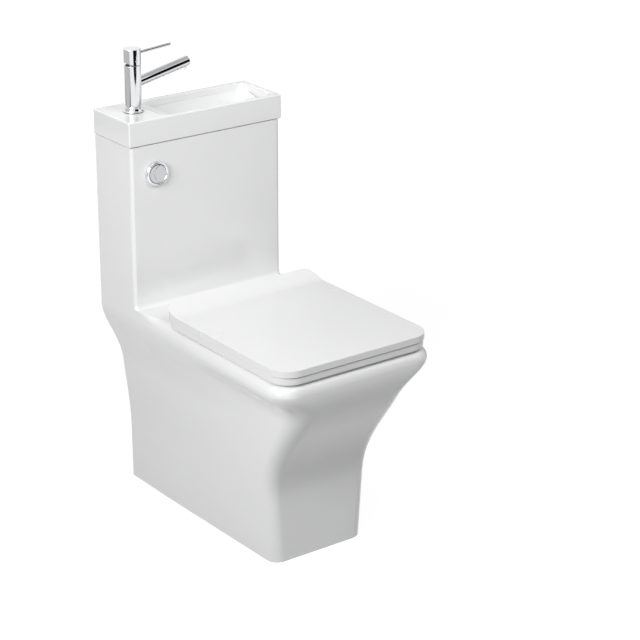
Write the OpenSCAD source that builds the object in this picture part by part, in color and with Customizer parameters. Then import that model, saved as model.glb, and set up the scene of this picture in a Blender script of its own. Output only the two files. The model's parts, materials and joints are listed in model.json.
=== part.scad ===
// Toilet with a hand basin on top of its cistern tower.
// Pan and tower are one china casting; the basin, tap, seat, lid and cistern fittings are separate pieces.
// d is a distance forward from the wall plane, z a height above the floor, x runs to the viewer's right.

/* [Pan] */
// Projection of the pan from the wall to the front of its rim
pan_len = 630; // [600:5:670]
// Width of the pan across its rim
rim_w = 362; // [354:2:380]
// Height of the rim deck above the floor
deck_z = 426; // [410:2:450]
// Radius of the soft shoulder round the rim
shoulder_r = 22; // [14:1:26]
// Corner radius of the rim, seen from above
rim_r = 45; // [36:1:60]
// Length of the foot from the wall
foot_len = 501; // [470:1:530]
// Width of the foot at the wall
foot_back_w = 228; // [216:2:250]
// Width of the foot at the front
foot_front_w = 216; // [200:2:230]
// Corner radius of the foot, seen from above
foot_r = 26; // [18:1:34]
// Height where the front face starts to lean out
front_flare_z = 134; // [100:2:200]
// Height where the sides start to swell at the front
side_flare_z = 325; // [280:5:350]
// Thickness of the china walls
china_t = 12; // [9:1:14]

/* [Bowl] */
// Length of the bowl's mouth
bowl_len = 290; // [260:2:300]
// Width of the bowl's mouth
bowl_w = 236; // [200:2:250]
// Distance from the bowl's mouth to the front of the rim
bowl_front_gap = 55; // [48:1:70]
// Length of the sump at the bottom of the bowl
sump_len = 116; // [100:2:130]
// Width of the sump
sump_w = 100; // [84:2:110]
// Thickness of the bowl's shell
bowl_t = 10; // [8:1:13]
// Rounding of the bowl's upper edge
mouth_round = 6; // [3:0.5:8]

/* [Trapway] */
// Inner radius of the trapway
trap_r = 38; // [34:1:40]
// Wall of the trapway
trap_t = 8; // [6:0.5:10]
// Radius of the trapway's bends, on their centre line
trap_bend = 50; // [48:1:52]
// Height of the soil outlet's centre
outlet_z = 180; // [175:1:190]
// Outer radius of the soil outlet
outlet_r = 51; // [48:0.5:55]
// Distance of the outlet's end from the wall
outlet_gap = 25; // [10:1:40]

/* [Tower] */
// Width of the tower
tower_w = 350; // [340:2:352]
// Depth of the tower
tower_d = 129; // [126:1:131]
// Rounding of the tower's upright front edges
tower_r = 8; // [4:1:12]
// Radius of the cove where the tower meets the deck
cove_r = 10; // [5:1:16]
// Thickness of the tower's walls
tank_t = 11; // [9:0.5:13]
// Thickness of the cistern floor
tank_floor_t = 16; // [13:1:18]

/* [Basin] */
// Height of the basin's top above the floor
basin_top_z = 808; // [790:2:830]
// Width of the basin
basin_w = 356; // [352:2:366]
// Depth of the basin from front to back
basin_d = 132; // [130:1:140]
// Height of the basin's outer faces
basin_h = 50; // [44:1:56]
// Rounding of the basin's outer edges
basin_r = 3; // [2:0.5:5]
// Width of the basin's rim
basin_rim = 11; // [9:0.5:14]
// Depth of the basin's bowl
basin_deep = 72; // [66:1:76]
// Length of the ramp that falls away from the tap
ramp_len = 150; // [130:2:160]
// Wall of the basin
basin_t = 9; // [7:0.5:11]
// Thickness of the seal under the basin
seal_t = 1.2; // [0.8:0.2:2]

/* [Tap] */
// Distance of the tap's axis from the basin's left edge
tap_inset = 53; // [46:1:60]
// Distance of the tap's axis from the wall
tap_d = 64; // [58:1:68]
// Radius of the tap's column
tap_r = 16.8; // [14:0.2:18]
// Height of the column
tap_h = 92; // [80:1:110]
// Radius of the flared foot of the tap
tap_foot_r = 20; // [18.5:0.5:23]
// Height of the cap on top of the column
cap_h = 31; // [28:1:36]
// Radius of the cap
cap_r = 17.5; // [16:0.1:19]
// Radius of the spout
spout_r = 10.4; // [9:0.2:11]
// Distance from the tap's axis to the spout's tip
spout_reach = 127; // [110:1:140]
// Angle that the spout rises at
spout_rise = 12; // [8:1:16]
// Height of the spout's axis where it leaves the column
spout_z = 54; // [46:1:60]
// Radius of the lever pin
lever_r = 3.1; // [2.5:0.1:4]
// Distance from the tap's axis to the lever's tip
lever_reach = 88; // [70:1:100]

/* [Flush button] */
// Distance of the button's centre from the tower's left side
button_x = 57; // [53:1:75]
// Height of the button's centre
button_z = 698; // [690:1:702]
// Outer radius of the bezel
bezel_r = 25; // [23:0.5:28]
// Distance that the bezel stands out of the tower
bezel_h = 9; // [8:0.5:12]
// Radius of the two buttons together
button_r = 18.2; // [17:0.2:18.6]
// Travel of the buttons
button_travel = 6; // [4:0.5:7]

/* [Seat and lid] */
// Width of the lid
lid_w = 350; // [346:2:356]
// Distance from the front of the pan back to the front of the lid
lid_setback = 3; // [2:0.5:8]
// Distance of the lid's rear edge from the wall
lid_back_d = 236; // [226:1:246]
// Thickness of the lid
lid_t = 13; // [11:0.5:15]
// Corner radius at the front of the lid
lid_r = 44; // [34:1:55]
// Corner radius at the back of the lid
lid_back_r = 24; // [16:1:30]
// Height that the lid's rear edge curls up
curl_h = 16.6; // [14:0.2:20]
// Length of the curl
curl_len = 50; // [46:1:60]
// Thickness of the seat
seat_t = 14; // [12:0.5:15]
// Gap between the rim deck and the seat
seat_gap = 2; // [1.6:0.1:2.6]
// Gap between the seat and the lid
lid_gap = 1.5; // [1.2:0.1:2.2]
// Distance that the seat stands back from the lid's edge
seat_inset = 2; // [1:0.5:4]
// Length of the opening in the seat
seat_hole_len = 262; // [240:2:280]
// Width of the opening in the seat
seat_hole_w = 214; // [190:2:230]
// Distance of the hinge axis in front of the lid's rear edge
hinge_in = 8; // [5:0.5:12]
// Height of the hinge axis above the lid's underside
hinge_rise = 8.5; // [6:0.5:10.5]
// Distance between the two hinge posts
hinge_pitch = 155; // [145:1:165]
// Radius of the hinge pins
pin_r = 4; // [3:0.25:5]

/* [Cistern fittings] */
// Distance of the inlet valve from the centre line, to the left
fill_x = 76; // [67:1:85]
// Distance of the flush valve from the centre line, to the right
valve_x = 10; // [0:1:20]
// Distance of both valves from the wall
valve_d = 65; // [62:1:68]
// Height of the overflow tube above the cistern floor
overflow_h = 218; // [190:2:224]
// Height of the inlet valve above the cistern floor
fill_h = 210; // [190:2:222]
// Radius of the inlet shank
shank_r = 10.4; // [9:0.1:11]

/* [Basin waste] */
// Distance of the waste's axis from the tower's right side
waste_x = 66; // [63:1:69]
// Outer radius of the waste pipe
waste_r = 16; // [14:0.5:16.5]
// Height of the waste pipe where it leaves the tower
waste_out_z = 672; // [668:1:676]

/* [Clearances] */
// Radial clearance of a shaft that turns in its bore
run_c = 0.05; // [0.02:0.01:0.09]
// Gap between flat faces of pieces that move apart
face_c = 0.3; // [0.2:0.05:0.5]
// Radial gap round fixed pieces that pass through china
china_c = 1.5; // [1:0.25:3]

/* [Hidden] */
$fn = 64;
white = [0.95, 0.95, 0.94];
chrome = [0.75, 0.77, 0.8];
rubber = [0.2, 0.2, 0.22];
plastic = [0.88, 0.89, 0.9];
over = 1;          // how far a cut runs past the face that it opens
wall_y = pan_len / 2;
button_at = -tower_w / 2 + button_x;    // places across the part, from its centre line
waste_at = tower_w / 2 - waste_x;

// ---- curves shared by every form

function clamp01(t) = max(0, min(1, t));
function ease(z, a, b, p = 1) = let (t = pow(clamp01((z - a) / (b - a)), p)) t * t * (3 - 2 * t);
function lerp(a, b, t) = a + (b - a) * t;
// Inward step of a quarter-round edge of radius r, u along it from 0 to 1
function round_in(r, u) = r * (1 - sqrt(max(0, 1 - u * u)));
// Corner arc from angle a0, n steps, as [x, d]
function arc(cx, cd, r, a0, a1, n) =
    [for (i = [0:n]) let (a = lerp(a0, a1, i / n)) [cx + r * cos(a), cd + r * sin(a)]];
// Rounded rectangle round (cx, cd) with half sizes hx and hd
function round_rect(cx, cd, hx, hd, r, n = 7) = concat(
    arc(cx + hx - r, cd - hd + r, r, -90, 0, n), arc(cx + hx - r, cd + hd - r, r, 0, 90, n),
    arc(cx - hx + r, cd + hd - r, r, 90, 180, n), arc(cx - hx + r, cd - hd + r, r, 180, 270, n));
// A ring of [x, d] points set at height z in the part's own frame
function at_height(ring, z) = [for (p = ring) [p[0], wall_y - p[1], z]];
// The left half of a ring is its right half mirrored; the last point of the right half is on the centre line
function both_sides(half) = let (n = len(half))
    concat(half, [for (i = [n - 2:-1:0]) [-half[i][0], half[i][1]]]);

// The end face of a ring of n points: a ladder of quads between its halves, which also suits a waisted ring.
// The last face takes the straight front whole, with its steps on each side of the centre line.
function rungs(n, front) = let (last = ceil(n / 2) - 2 - front) concat(
    [for (i = [0:last - 1]) [i, i + 1, n - 2 - i, n - 1 - i]],
    [[for (i = [last:n - 1 - last]) i]]);
function turned(face) = [for (i = [len(face) - 1:-1:0]) face[i]];
// A closed solid through rings of equal length, stacked upwards
module loft(rings, front = 0) {
    n = len(rings[0]);
    m = len(rings);
    sides = [for (k = [0:m - 2], i = [0:n - 1])
        let (a = k * n + i, b = k * n + (i + 1) % n) each [[a, b, b + n], [a, b + n, a + n]]];
    bottom = [for (face = rungs(n, front)) turned(face)];
    top = [for (face = rungs(n, front)) [for (i = face) (m - 1) * n + i]];
    polyhedron(points = [for (r = rings) each r], faces = concat(bottom, sides, top));
}

// ---- places and simple solids

module place(x, d, z) translate([x, wall_y - d, z]) children();
// Children drawn upwards point to the wall, or to the room
module to_wall(x, d, z) place(x, d, z) rotate([-90, 0, 0]) children();
module to_room(x, d, z) place(x, d, z) rotate([90, 0, 0]) children();
module to_right(x, d, z) place(x, d, z) rotate([0, 90, 0]) children();
// Children drawn in a plane of [d, z], seen from the side
module side_plane(x = 0) translate([x, wall_y, 0]) rotate([90, 0, -90]) children();
module tube(r_out, r_in, h) difference() {
    cylinder(r = r_out, h = h);
    translate([0, 0, -over]) cylinder(r = r_in, h = h + 2 * over);
}
module bar(x0, x1, d0, d1, z0, z1)
    translate([x0, wall_y - d1, z0]) cube([x1 - x0, d1 - d0, z1 - z0]);
// Rounded rectangle of two squares and four discs, so that its corners stay true arcs
module plate_2d(x0, x1, d0, d1, r) translate([0, wall_y]) scale([1, -1]) {
    translate([x0 + r, d0]) square([x1 - x0 - 2 * r, d1 - d0]);
    translate([x0, d0 + r]) square([x1 - x0, d1 - d0 - 2 * r]);
    for (x = [x0 + r, x1 - r], d = [d0 + r, d1 - r]) translate([x, d]) circle(r);
}
module plate(x0, x1, d0, d1, r, z0, z1)
    translate([0, 0, z0]) linear_extrude(z1 - z0) plate_2d(x0, x1, d0, d1, r);
module hex_nut(flat_r, bore_r, h) difference() {
    cylinder(r = flat_r / cos(30), h = h, $fn = 6);
    translate([0, 0, -over]) cylinder(r = bore_r, h = h + 2 * over);
}
module mirrored() for (s = [1, -1]) scale([s, 1, 1]) children();

// ---- heights and places worked out from the sizes above

flare_top = deck_z - shoulder_r;
tower_top_z = basin_top_z - basin_h - seal_t;
tank_floor_z = deck_z + tank_floor_t - china_t;
hollow_top_z = deck_z - china_t;
tank_w = tower_w - 2 * tank_t;
tank_front_d = tower_d - tank_t;
basin_low_z = basin_top_z - basin_h;
blend_d = tower_d + cove_r;    // the pan's sides run straight from the wall to here

// ---- china body

side_lean = 29;        // growth of the front width up to the rim that comes before the swell
back_lean = 3;         // the same at the wall, on each side
knee_share = 0.28;     // share of the rear swell that the first, gentle curve makes
knee_z0 = 120;
knee_z1 = 330;
rear_flare_z = 270;
shoulder_blend = 80;   // length over which the shoulder grows in front of the tower
tower_root = 8;        // how far the tower's form reaches down into the pan's
tower_root_in = 2;     // how far it draws in there

function back_half(z) = let (grow = (tower_w - foot_back_w) / 2 - back_lean)
    foot_back_w / 2 + back_lean * min(z / flare_top, 1)
    + grow * (knee_share * ease(z, knee_z0, knee_z1)
    + (1 - knee_share) * ease(z, rear_flare_z, flare_top, 1.1));
function front_half(z) = foot_front_w / 2 + side_lean * min(z / flare_top, 1)
    + ((rim_w - foot_front_w) / 2 - side_lean) * ease(z, side_flare_z, flare_top, 1.5);
function front_d(z) = foot_len + (pan_len - foot_len) * ease(z, front_flare_z, flare_top, 1.1);
function corner_r(z) = lerp(foot_r, rim_r, ease(z, front_flare_z, flare_top));

side_steps = 12;
side_bias = 1.4;       // crowds the side points towards the tower, where the shoulder grows
corner_steps = 8;
front_steps = 2;
tower_arc_steps = 5;

// Right half of the pan's outline at height z, from the wall to the centre line, moved inwards by inset
function pan_half(z, inset = 0, from_d = 0) =
    let (drop = round_in(shoulder_r, clamp01((z - flare_top) / shoulder_r)) * (inset > 0 ? 0 : 1),
         hb = back_half(z) - inset, hf = front_half(z) - inset, fd = front_d(z) - inset,
         r = max(corner_r(z) - inset, 6), d2 = fd - r)
    concat(
        [[hb, from_d], [hb, blend_d]],
        [for (i = [1:side_steps - 1]) let (d = lerp(blend_d, d2, pow(i / side_steps, side_bias)))
            [lerp(hb, hf, (d - blend_d) / (d2 - blend_d))
                - drop * ease(d, blend_d, blend_d + shoulder_blend), d]],
        arc(hf - r, d2, r - drop, 0, 90, corner_steps),
        [for (i = [1:front_steps]) [(hf - r) * (1 - i / front_steps), fd - drop]]);

// Right half of the tower's outline, moved forward by the cove's reach and drawn in by inset
function tower_half(reach = 0, inset = 0) =
    let (hx = tower_w / 2 - inset, d1 = tower_d - tower_r)
    concat(
        [[hx, 0], [hx, d1]],
        [for (i = [1:tower_arc_steps]) let (a = 90 * i / tower_arc_steps)
            [hx - tower_r + tower_r * cos(a), d1 + (tower_r + reach) * sin(a)]],
        [[0, tower_d + reach]]);

// heights of the pan's rings, as shares of the height where the shoulder starts
pan_shares = [0.01, 0.11, 0.22, 0.3, 0.37, 0.44, 0.5, 0.57, 0.63, 0.68,
    0.73, 0.77, 0.81, 0.85, 0.88, 0.91, 0.94, 0.97];
cove_steps = 4;
foot_round = 2;        // rounding of the foot's bottom edge

module pan_form() loft(concat(
    [at_height(both_sides(pan_half(0, 0.001 + foot_round)), 0)],
    [for (share = pan_shares) let (z = share * flare_top) at_height(both_sides(pan_half(z)), z)],
    [for (i = [0:6]) let (z = flare_top + shoulder_r * sin(15 * i)) at_height(both_sides(pan_half(z)), z)]),
    front_steps);
module tower_form() loft(concat(
    [at_height(both_sides(tower_half(cove_r, tower_root_in)), deck_z - tower_root)],
    [for (i = [0:cove_steps]) let (a = 90 * i / cove_steps)
        at_height(both_sides(tower_half(cove_r * (1 - sin(a)))), deck_z + cove_r * (1 - cos(a)))],
    [at_height(both_sides(tower_half()), tower_top_z)]), 1);

// Half length, half width and centre of the bowl, t from its mouth (0) to its bottom (1)
bowl_mouth_d = pan_len - bowl_front_gap - bowl_len / 2;
sump_d = bowl_mouth_d - bowl_len / 2 + sump_len / 2 + 2;
dip_z = outlet_z - 5;
bowl_low_z = dip_z - trap_r;
bowl_floor_r = 30;
function bowl_ring(z, grow) =
    let (t = clamp01((deck_z - z) / (deck_z - bowl_low_z)), s = ease(t, 0, 1, 1.15),
         low = round_in(bowl_floor_r, clamp01(1 - (z - bowl_low_z + grow) / bowl_floor_r)),
         lip = grow > 0 ? 0 : round_in(mouth_round, clamp01(1 - (deck_z - z) / mouth_round)),
         hd = lerp(bowl_len, sump_len, s) / 2 + grow - low + lip,
         hx = lerp(bowl_w, sump_w, s) / 2 + grow - low + lip)
    round_rect(0, lerp(bowl_mouth_d, sump_d, s), hx, hd, min(hx, hd, lerp(78, 60, t) + grow - low) - 0.5);
module bowl_form(grow, z_top, heights) loft(concat(
    [for (u = [0, 0.3, 0.7]) let (z = bowl_low_z - grow + bowl_floor_r * (1 - cos(90 * u)))
        at_height(bowl_ring(z, grow), z)],
    [for (h = heights) let (z = lerp(bowl_low_z - grow + bowl_floor_r, deck_z - mouth_round, h))
        at_height(bowl_ring(z, grow), z)],
    grow > 0 ? [] : [for (a = [30, 60, 90]) let (z = deck_z - mouth_round * (1 - sin(a)))
        at_height(bowl_ring(z, grow), z)],
    [at_height(bowl_ring(z_top, grow), z_top)]));

// The trapway: sump, up-leg, top bend, down-leg and outlet, as one run of radius r
up_d = sump_d - sump_len / 2 - trap_bend;
down_d = up_d - 2 * trap_bend;
top_bend_z = outlet_z + 82;
module elbow(bend, r, a0, turn) rotate([0, 0, a0])
    rotate_extrude(angle = turn) translate([bend, 0]) circle(r);
module trap_run(r) {
    to_wall(0, sump_d, dip_z) cylinder(r = r, h = sump_d - up_d - trap_bend);
    side_plane() translate([up_d + trap_bend, dip_z + trap_bend]) elbow(trap_bend, r, 180, 90);
    place(0, up_d, dip_z + trap_bend) cylinder(r = r, h = top_bend_z - dip_z - trap_bend);
    side_plane() translate([up_d - trap_bend, top_bend_z]) elbow(trap_bend, r, 0, 180);
    place(0, down_d, outlet_z + trap_bend) cylinder(r = r, h = top_bend_z - outlet_z - trap_bend);
    side_plane() translate([down_d - trap_bend, outlet_z + trap_bend]) elbow(trap_bend, r, 270, 90);
    to_wall(0, down_d - trap_bend, outlet_z) cylinder(r = r, h = down_d - trap_bend - outlet_gap);
}

// Flush water runs from the valve hole under the deck to the back of the bowl
duct_r = 22;
duct_z = hollow_top_z - duct_r - 6;
valve_hole_r = 30;
module flush_duct(r, reach)
    to_room(valve_x, valve_d - r, duct_z) cylinder(r = r, h = reach - valve_d + r);

rear_window_w = foot_back_w - 2 * china_t - 12;
rear_window_z = deck_z - 130;
module rear_window() bar(-rear_window_w / 2, rear_window_w / 2, -over, china_t + 2, -over, rear_window_z);

hollow_shares = [0.15, 0.3, 0.41, 0.5, 0.6, 0.67, 0.74, 0.8, 0.87, 0.92, 0.97];
module skirt_hollow() loft(concat(
    [at_height(both_sides(pan_half(0, china_t, china_t)), -over)],
    [for (share = hollow_shares) let (z = share * flare_top)
        at_height(both_sides(pan_half(z, china_t, china_t)), z)],
    [at_height(both_sides(pan_half(hollow_top_z, china_t, china_t)), hollow_top_z)]), front_steps);
module hollow_parts() {
    bowl_form(bowl_t, deck_z - 3, [0.12, 0.3, 0.5, 0.7, 0.88]);
    trap_run(trap_r + trap_t);
    to_wall(0, down_d - trap_bend, outlet_z) cylinder(r = outlet_r, h = down_d - trap_bend - outlet_gap);
    flush_duct(duct_r + trap_t, bowl_mouth_d - bowl_len / 2 - 2);
    place(valve_x, valve_d, duct_z) cylinder(r = valve_hole_r + trap_t, h = hollow_top_z - duct_z + 2);
}

// Places of what passes through the tower and deck
waste_hole_r = waste_r + 4;
tail_hole_r = 13.2;
hot_out_z = 700;
cold_out_z = 730;
tap_x = -basin_w / 2 + tap_inset;
tail_half_pitch = 8;
hot_x = tap_x - tail_half_pitch;
cold_x = tap_x + tail_half_pitch;
barrel_r = 19.2;
sleeve_r = 6.8;
neck_r = shank_r + 0.4;    // the inlet's neck above its thread

module china_body() color(white) difference() {
    union() {
        pan_form();
        tower_form();
    }
    difference() {
        skirt_hollow();
        hollow_parts();
    }
    rear_window();
    bowl_form(0, deck_z + over, [0, 0.12, 0.25, 0.4, 0.55, 0.7, 0.85, 1]);
    trap_run(trap_r);
    to_wall(0, outlet_gap + over, outlet_z) cylinder(r = trap_r, h = 2 * over + 1);
    flush_duct(duct_r, bowl_mouth_d - bowl_len / 2 + 12);
    place(valve_x, valve_d, duct_z) cylinder(r = valve_hole_r, h = tank_floor_z - duct_z + over);
    place(-fill_x, valve_d, hollow_top_z - over)
        cylinder(r = neck_r + china_c, h = tank_floor_z - hollow_top_z + 2 * over);
    above_floor();
    for (s = [-1, 1]) place(s * hinge_pitch / 2, hinge_d, hollow_top_z - over)
        cylinder(r = sleeve_r + 0.3, h = china_t + 2 * over);
}
// The tower stands on the cistern's floor: its front and sides are one solid, its back wall another
tank_corner_r = 8;
module above_floor()
    bar(-tower_w, tower_w, -over, blend_d + over, tank_floor_z, tower_top_z + over);
module tower_walls() color(white) difference() {
    intersection() {
        tower_form();
        above_floor();
    }
    back_slab(over);
    plate(-tank_w / 2, tank_w / 2, 0, tank_front_d, tank_corner_r, tank_floor_z - over, tower_top_z + over);
    to_room(button_at, tank_front_d - over, button_z) cylinder(r = barrel_r + china_c, h = tank_t + 2 * over);
}
module back_slab(past = 0)
    bar(-tower_w / 2 - past, tower_w / 2 + past, -past, tank_t, tank_floor_z - past, tower_top_z + past);
module tower_back() color(white) difference() {
    back_slab();
    to_wall(waste_at, tank_t + over, waste_out_z) cylinder(r = waste_hole_r, h = tank_t + 2 * over);
    to_wall(hot_x, tail_end_d + over, hot_out_z) cylinder(r = tail_hole_r, h = tail_end_d + 2 * over);
    to_wall(cold_x, tail_end_d + over, cold_out_z) cylinder(r = tail_hole_r, h = tail_end_d + 2 * over);
}

// ---- basin

bowl_left = tap_x + 33;
bowl_right = basin_w / 2 - basin_rim - 1;
basin_floor_z = basin_top_z - basin_deep;
basin_under_z = basin_floor_z - basin_t;
ledge_z = basin_top_z - basin_rim;
basin_floor_r = 13;
basin_lip = 4;
basin_fit = 1.5;       // gap between the bowl's shell and the tower's walls
basin_low_half = (tank_front_d - tank_t) / 2 - basin_t - basin_fit;
basin_low_right = tank_w / 2 - basin_t - basin_fit;
function basin_ring(z, grow) =
    let (t = clamp01((basin_top_z - z) / basin_deep),
         s = ease(t, 0, (basin_h - 4) / basin_deep),
         low = round_in(basin_floor_r, clamp01(1 - (z - basin_floor_z + grow) / basin_floor_r)),
         lip = grow > 0 ? 0 : round_in(basin_lip, clamp01(1 - (basin_top_z - z) / basin_lip)),
         e = grow - low + lip,
         left = bowl_left + ramp_len * pow(t, 1.25) - e, right = lerp(bowl_right, basin_low_right, s) + e,
         hd = lerp(basin_d / 2 - basin_rim, basin_low_half, s) + e,
         cd = lerp(basin_d / 2, (tank_front_d + tank_t) / 2, s))
    round_rect((left + right) / 2, cd, (right - left) / 2, hd, min(hd, 20 - 4 * t) - 0.5, 6);
module basin_form(grow, z_top) loft(concat(
    [for (u = [0, 0.35, 0.7]) let (z = basin_floor_z - grow + basin_floor_r * (1 - cos(90 * u)))
        at_height(basin_ring(z, grow), z)],
    [for (h = [0, 0.2, 0.4, 0.6, 0.8, 1])
        let (z = lerp(basin_floor_z - grow + basin_floor_r, basin_top_z - basin_lip, h))
        at_height(basin_ring(z, grow), z)],
    grow > 0 ? [] : [for (a = [30, 60, 90]) let (z = basin_top_z - basin_lip * (1 - sin(a)))
        at_height(basin_ring(z, grow), z)],
    [at_height(basin_ring(z_top, grow), z_top)]));
module basin_block() loft(concat(
    [for (a = [0, 45, 90]) basin_edge(basin_low_z + basin_r * (1 - cos(a)), a)],
    [for (a = [90, 67, 45, 22, 0]) basin_edge(basin_top_z - basin_r * (1 - cos(a)), a)]));
function basin_edge(z, a) = let (e = basin_r * (1 - sin(a)))
    at_height(round_rect(0, basin_d / 2, basin_w / 2 - e, basin_d / 2 - e, basin_r + 2 - e, 5), z);

basin_hole_r = 22;
tap_hole_r = 17;
module basin() color(white) difference() {
    union() {
        difference() {
            basin_block();
            plate(-basin_w / 2 + basin_rim + 3, basin_w / 2 - basin_rim - 3, basin_rim + 2,
                basin_d - basin_rim - 4, 6, basin_low_z - over, basin_top_z - basin_rim);
        }
        basin_form(basin_t, basin_top_z - 5);
    }
    basin_form(0, basin_top_z + over);
    place(waste_at, waste_d, flange_z) cylinder(r = flange_r + face_c, h = basin_floor_r);
    place(waste_at, waste_d, basin_under_z - over) cylinder(r = basin_hole_r, h = basin_t + 2 * over);
    place(tap_x, tap_d, ledge_z - over) cylinder(r = tap_hole_r, h = basin_rim + 2 * over);
}
seal_in = 3;           // distance of the seal from the tower's outer faces
seal_w = 6;
module seal_plate(inset, z0, z1)
    plate(-tower_w / 2 + inset, tower_w / 2 - inset, inset, tower_d - inset, 5, z0, z1);
module basin_seal() color(rubber) difference() {
    seal_plate(seal_in, tower_top_z, tower_top_z + seal_t);
    seal_plate(seal_in + seal_w, tower_top_z - over, tower_top_z + seal_t + over);
}

// ---- basin waste

waste_d = (tank_front_d + tank_t) / 2;
waste_bend = 26;
waste_turn_z = waste_out_z + waste_bend;
socket_top_z = waste_turn_z + 12;
thread_r = 20;
thread_low_z = socket_top_z + 2;
flange_r = 28;
flange_h = 3;
flange_sink = 0.5;     // depth of the recess that the flange lies in
flange_z = basin_floor_z - flange_sink;
waste_open_z = flange_z + flange_h + over;    // the bores of the waste run up to here
plug_rise = 6;         // travel of the plug, which stands open at rest
plug_stem_r = 4;
cross_low_z = basin_floor_z - 18;
cross_h = 8;
module plug_guide_bore() translate([0, 0, cross_low_z - over])
    cylinder(r = plug_stem_r + run_c, h = cross_h + 2 * over);
module waste_body() color(chrome) place(waste_at, waste_d, 0) {
    difference() {
        union() {
            translate([0, 0, flange_z]) cylinder(r1 = flange_r, r2 = flange_r - 1.5, h = flange_h);
            translate([0, 0, thread_low_z]) cylinder(r = thread_r, h = flange_z - thread_low_z);
            translate([0, 0, waste_turn_z + 1]) cylinder(r = waste_r, h = thread_low_z - waste_turn_z);
        }
        translate([0, 0, waste_turn_z]) cylinder(r = waste_r - 2, h = waste_open_z - waste_turn_z);
        translate([0, 0, thread_low_z + 2]) cylinder(r = thread_r - 3, h = waste_open_z - thread_low_z - 2);
    }
    // a cross of ribs with a boss carries the plug's stem
    difference() {
        union() for (a = [0, 90]) rotate([0, 0, a]) translate([-thread_r + 2, -2, cross_low_z])
            cube([2 * thread_r - 4, 4, cross_h]);
        plug_guide_bore();
    }
    difference() {
        translate([0, 0, cross_low_z]) cylinder(r = plug_stem_r + 3, h = cross_h);
        plug_guide_bore();
    }
}
washer_t = 2;
backnut_h = 8;
fit_c = 0.1;           // radial gap where fixed fittings slip over each other
module on_waste(z) place(waste_at, waste_d, z) children();
module waste_washers() color(rubber) on_waste(basin_under_z - washer_t)
    tube(flange_r + 1, thread_r + fit_c, washer_t);
module waste_backnut() color(plastic) on_waste(basin_under_z - washer_t - backnut_h)
    hex_nut(flange_r - 1, thread_r + fit_c, backnut_h);
// Outline of the plug's head from its underside to its crown, above the flange
plug_head = [[0, 0.5], [24, 0.5], [25, 1.5], [22, 3], [14, 4.2], [0, 5]];
module waste_plug() color(chrome) on_waste(flange_z) {
    rotate_extrude() polygon([for (p = plug_head) [p[0], p[1] + flange_h + plug_rise]]);
    translate([0, 0, -19]) cylinder(r = plug_stem_r, h = 24 + plug_rise);
}
elbow_t = 3;
socket_len = 14;
module waste_turn(r) side_plane(waste_at) translate([waste_d - waste_bend, waste_turn_z])
    elbow(waste_bend, r, 270, 90);
module waste_run(r, past = 0) {
    on_waste(waste_turn_z) cylinder(r = r, h = socket_top_z - waste_turn_z + past);
    to_wall(waste_at, waste_d - waste_bend, waste_out_z) cylinder(r = r, h = socket_len + past);
}
module waste_elbow() color(plastic) difference() {
    union() {
        waste_run(waste_r + elbow_t);
        waste_turn(waste_r + elbow_t);
    }
    waste_run(waste_r + fit_c, over);
    waste_turn(waste_r - 2);
}
module waste_elbow_nut() color(plastic) on_waste(socket_top_z - 10)
    tube(waste_r + 7, waste_r + elbow_t + fit_c, 9);
module waste_pipe() color(plastic) to_wall(waste_at, waste_d - waste_bend - 2, waste_out_z)
    tube(waste_r, waste_r - 1.6, waste_d - waste_bend - 2.5);
module waste_grommet() color(rubber) to_wall(waste_at, tank_t, waste_out_z)
    tube(waste_hole_r - 0.1, waste_r + 0.1, tank_t - 1);

// ---- tap

base_ring_t = 1.2;
cap_gap = 1.2;
tap_base_z = basin_top_z + base_ring_t;
tap_top_z = tap_base_z + tap_h;
cap_z = tap_top_z + cap_gap;
stem_r = 5;
cartridge_r = 12;
cartridge_low = 30;
lever_up = 5;          // angle that the lever rises at
lever_z = cap_z + cap_h * 0.62;
module on_tap() place(tap_x, tap_d, 0) children();
module spout_line() on_tap() translate([0, 0, tap_base_z + spout_z])
    rotate([0, 90 - spout_rise, 0]) children();
spout_len = spout_reach / cos(spout_rise);
aerator_back = 13;
aerator_r = 6.5;
module tap_body() color(chrome) difference() {
    union() {
        on_tap() rotate_extrude() polygon(concat([[0, tap_base_z], [tap_foot_r, tap_base_z]],
            [for (i = [0:6]) let (a = 15 * i) [tap_r + (tap_foot_r - tap_r) * (1 - sin(a)),
                tap_base_z + 1 + 7 * (1 - cos(a))]],
            [[tap_r, tap_top_z - 0.5], [tap_r - 0.5, tap_top_z], [0, tap_top_z]]));
        spout_line() rotate_extrude() polygon([[0, 0], [spout_r, 0], [spout_r, spout_len - 0.8],
            [spout_r - 0.8, spout_len], [0, spout_len]]);
    }
    on_tap() translate([0, 0, tap_top_z - cartridge_low])
        cylinder(r = cartridge_r + fit_c, h = cartridge_low + over);
    spout_line() translate([0, 0, 8]) cylinder(r = spout_r - 2.4, h = spout_len - 12);
    spout_line() translate([0, 0, spout_len - aerator_back]) rotate([0, 90, 0])
        cylinder(r = aerator_r + 0.1, h = spout_r + over);
    for (x = [-1, 1]) on_tap() translate([x * tail_half_pitch, 0, tap_base_z - over])
        cylinder(r = tail_r + fit_c, h = 15 + over);
    on_tap() translate([0, stud_back, tap_base_z - over]) cylinder(r = stud_r + run_c, h = 12 + over);
}
module tap_base_ring() color(rubber) place(tap_x, tap_d, basin_top_z)
    tube(tap_foot_r - 0.8, tap_hole_r, base_ring_t);
module tap_aerator() color(chrome) spout_line() translate([0, 0, spout_len - aerator_back]) rotate([0, 90, 0])
    translate([0, 0, spout_r - 6]) tube(aerator_r, aerator_r - 1.4, 8.5);
module tap_cartridge() color(plastic) on_tap() translate([0, 0, tap_top_z - cartridge_low]) difference() {
    cylinder(r = cartridge_r, h = cartridge_low - 8);
    translate([0, 0, 12]) cylinder(r = stem_r + run_c, h = cartridge_low);
}
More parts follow.
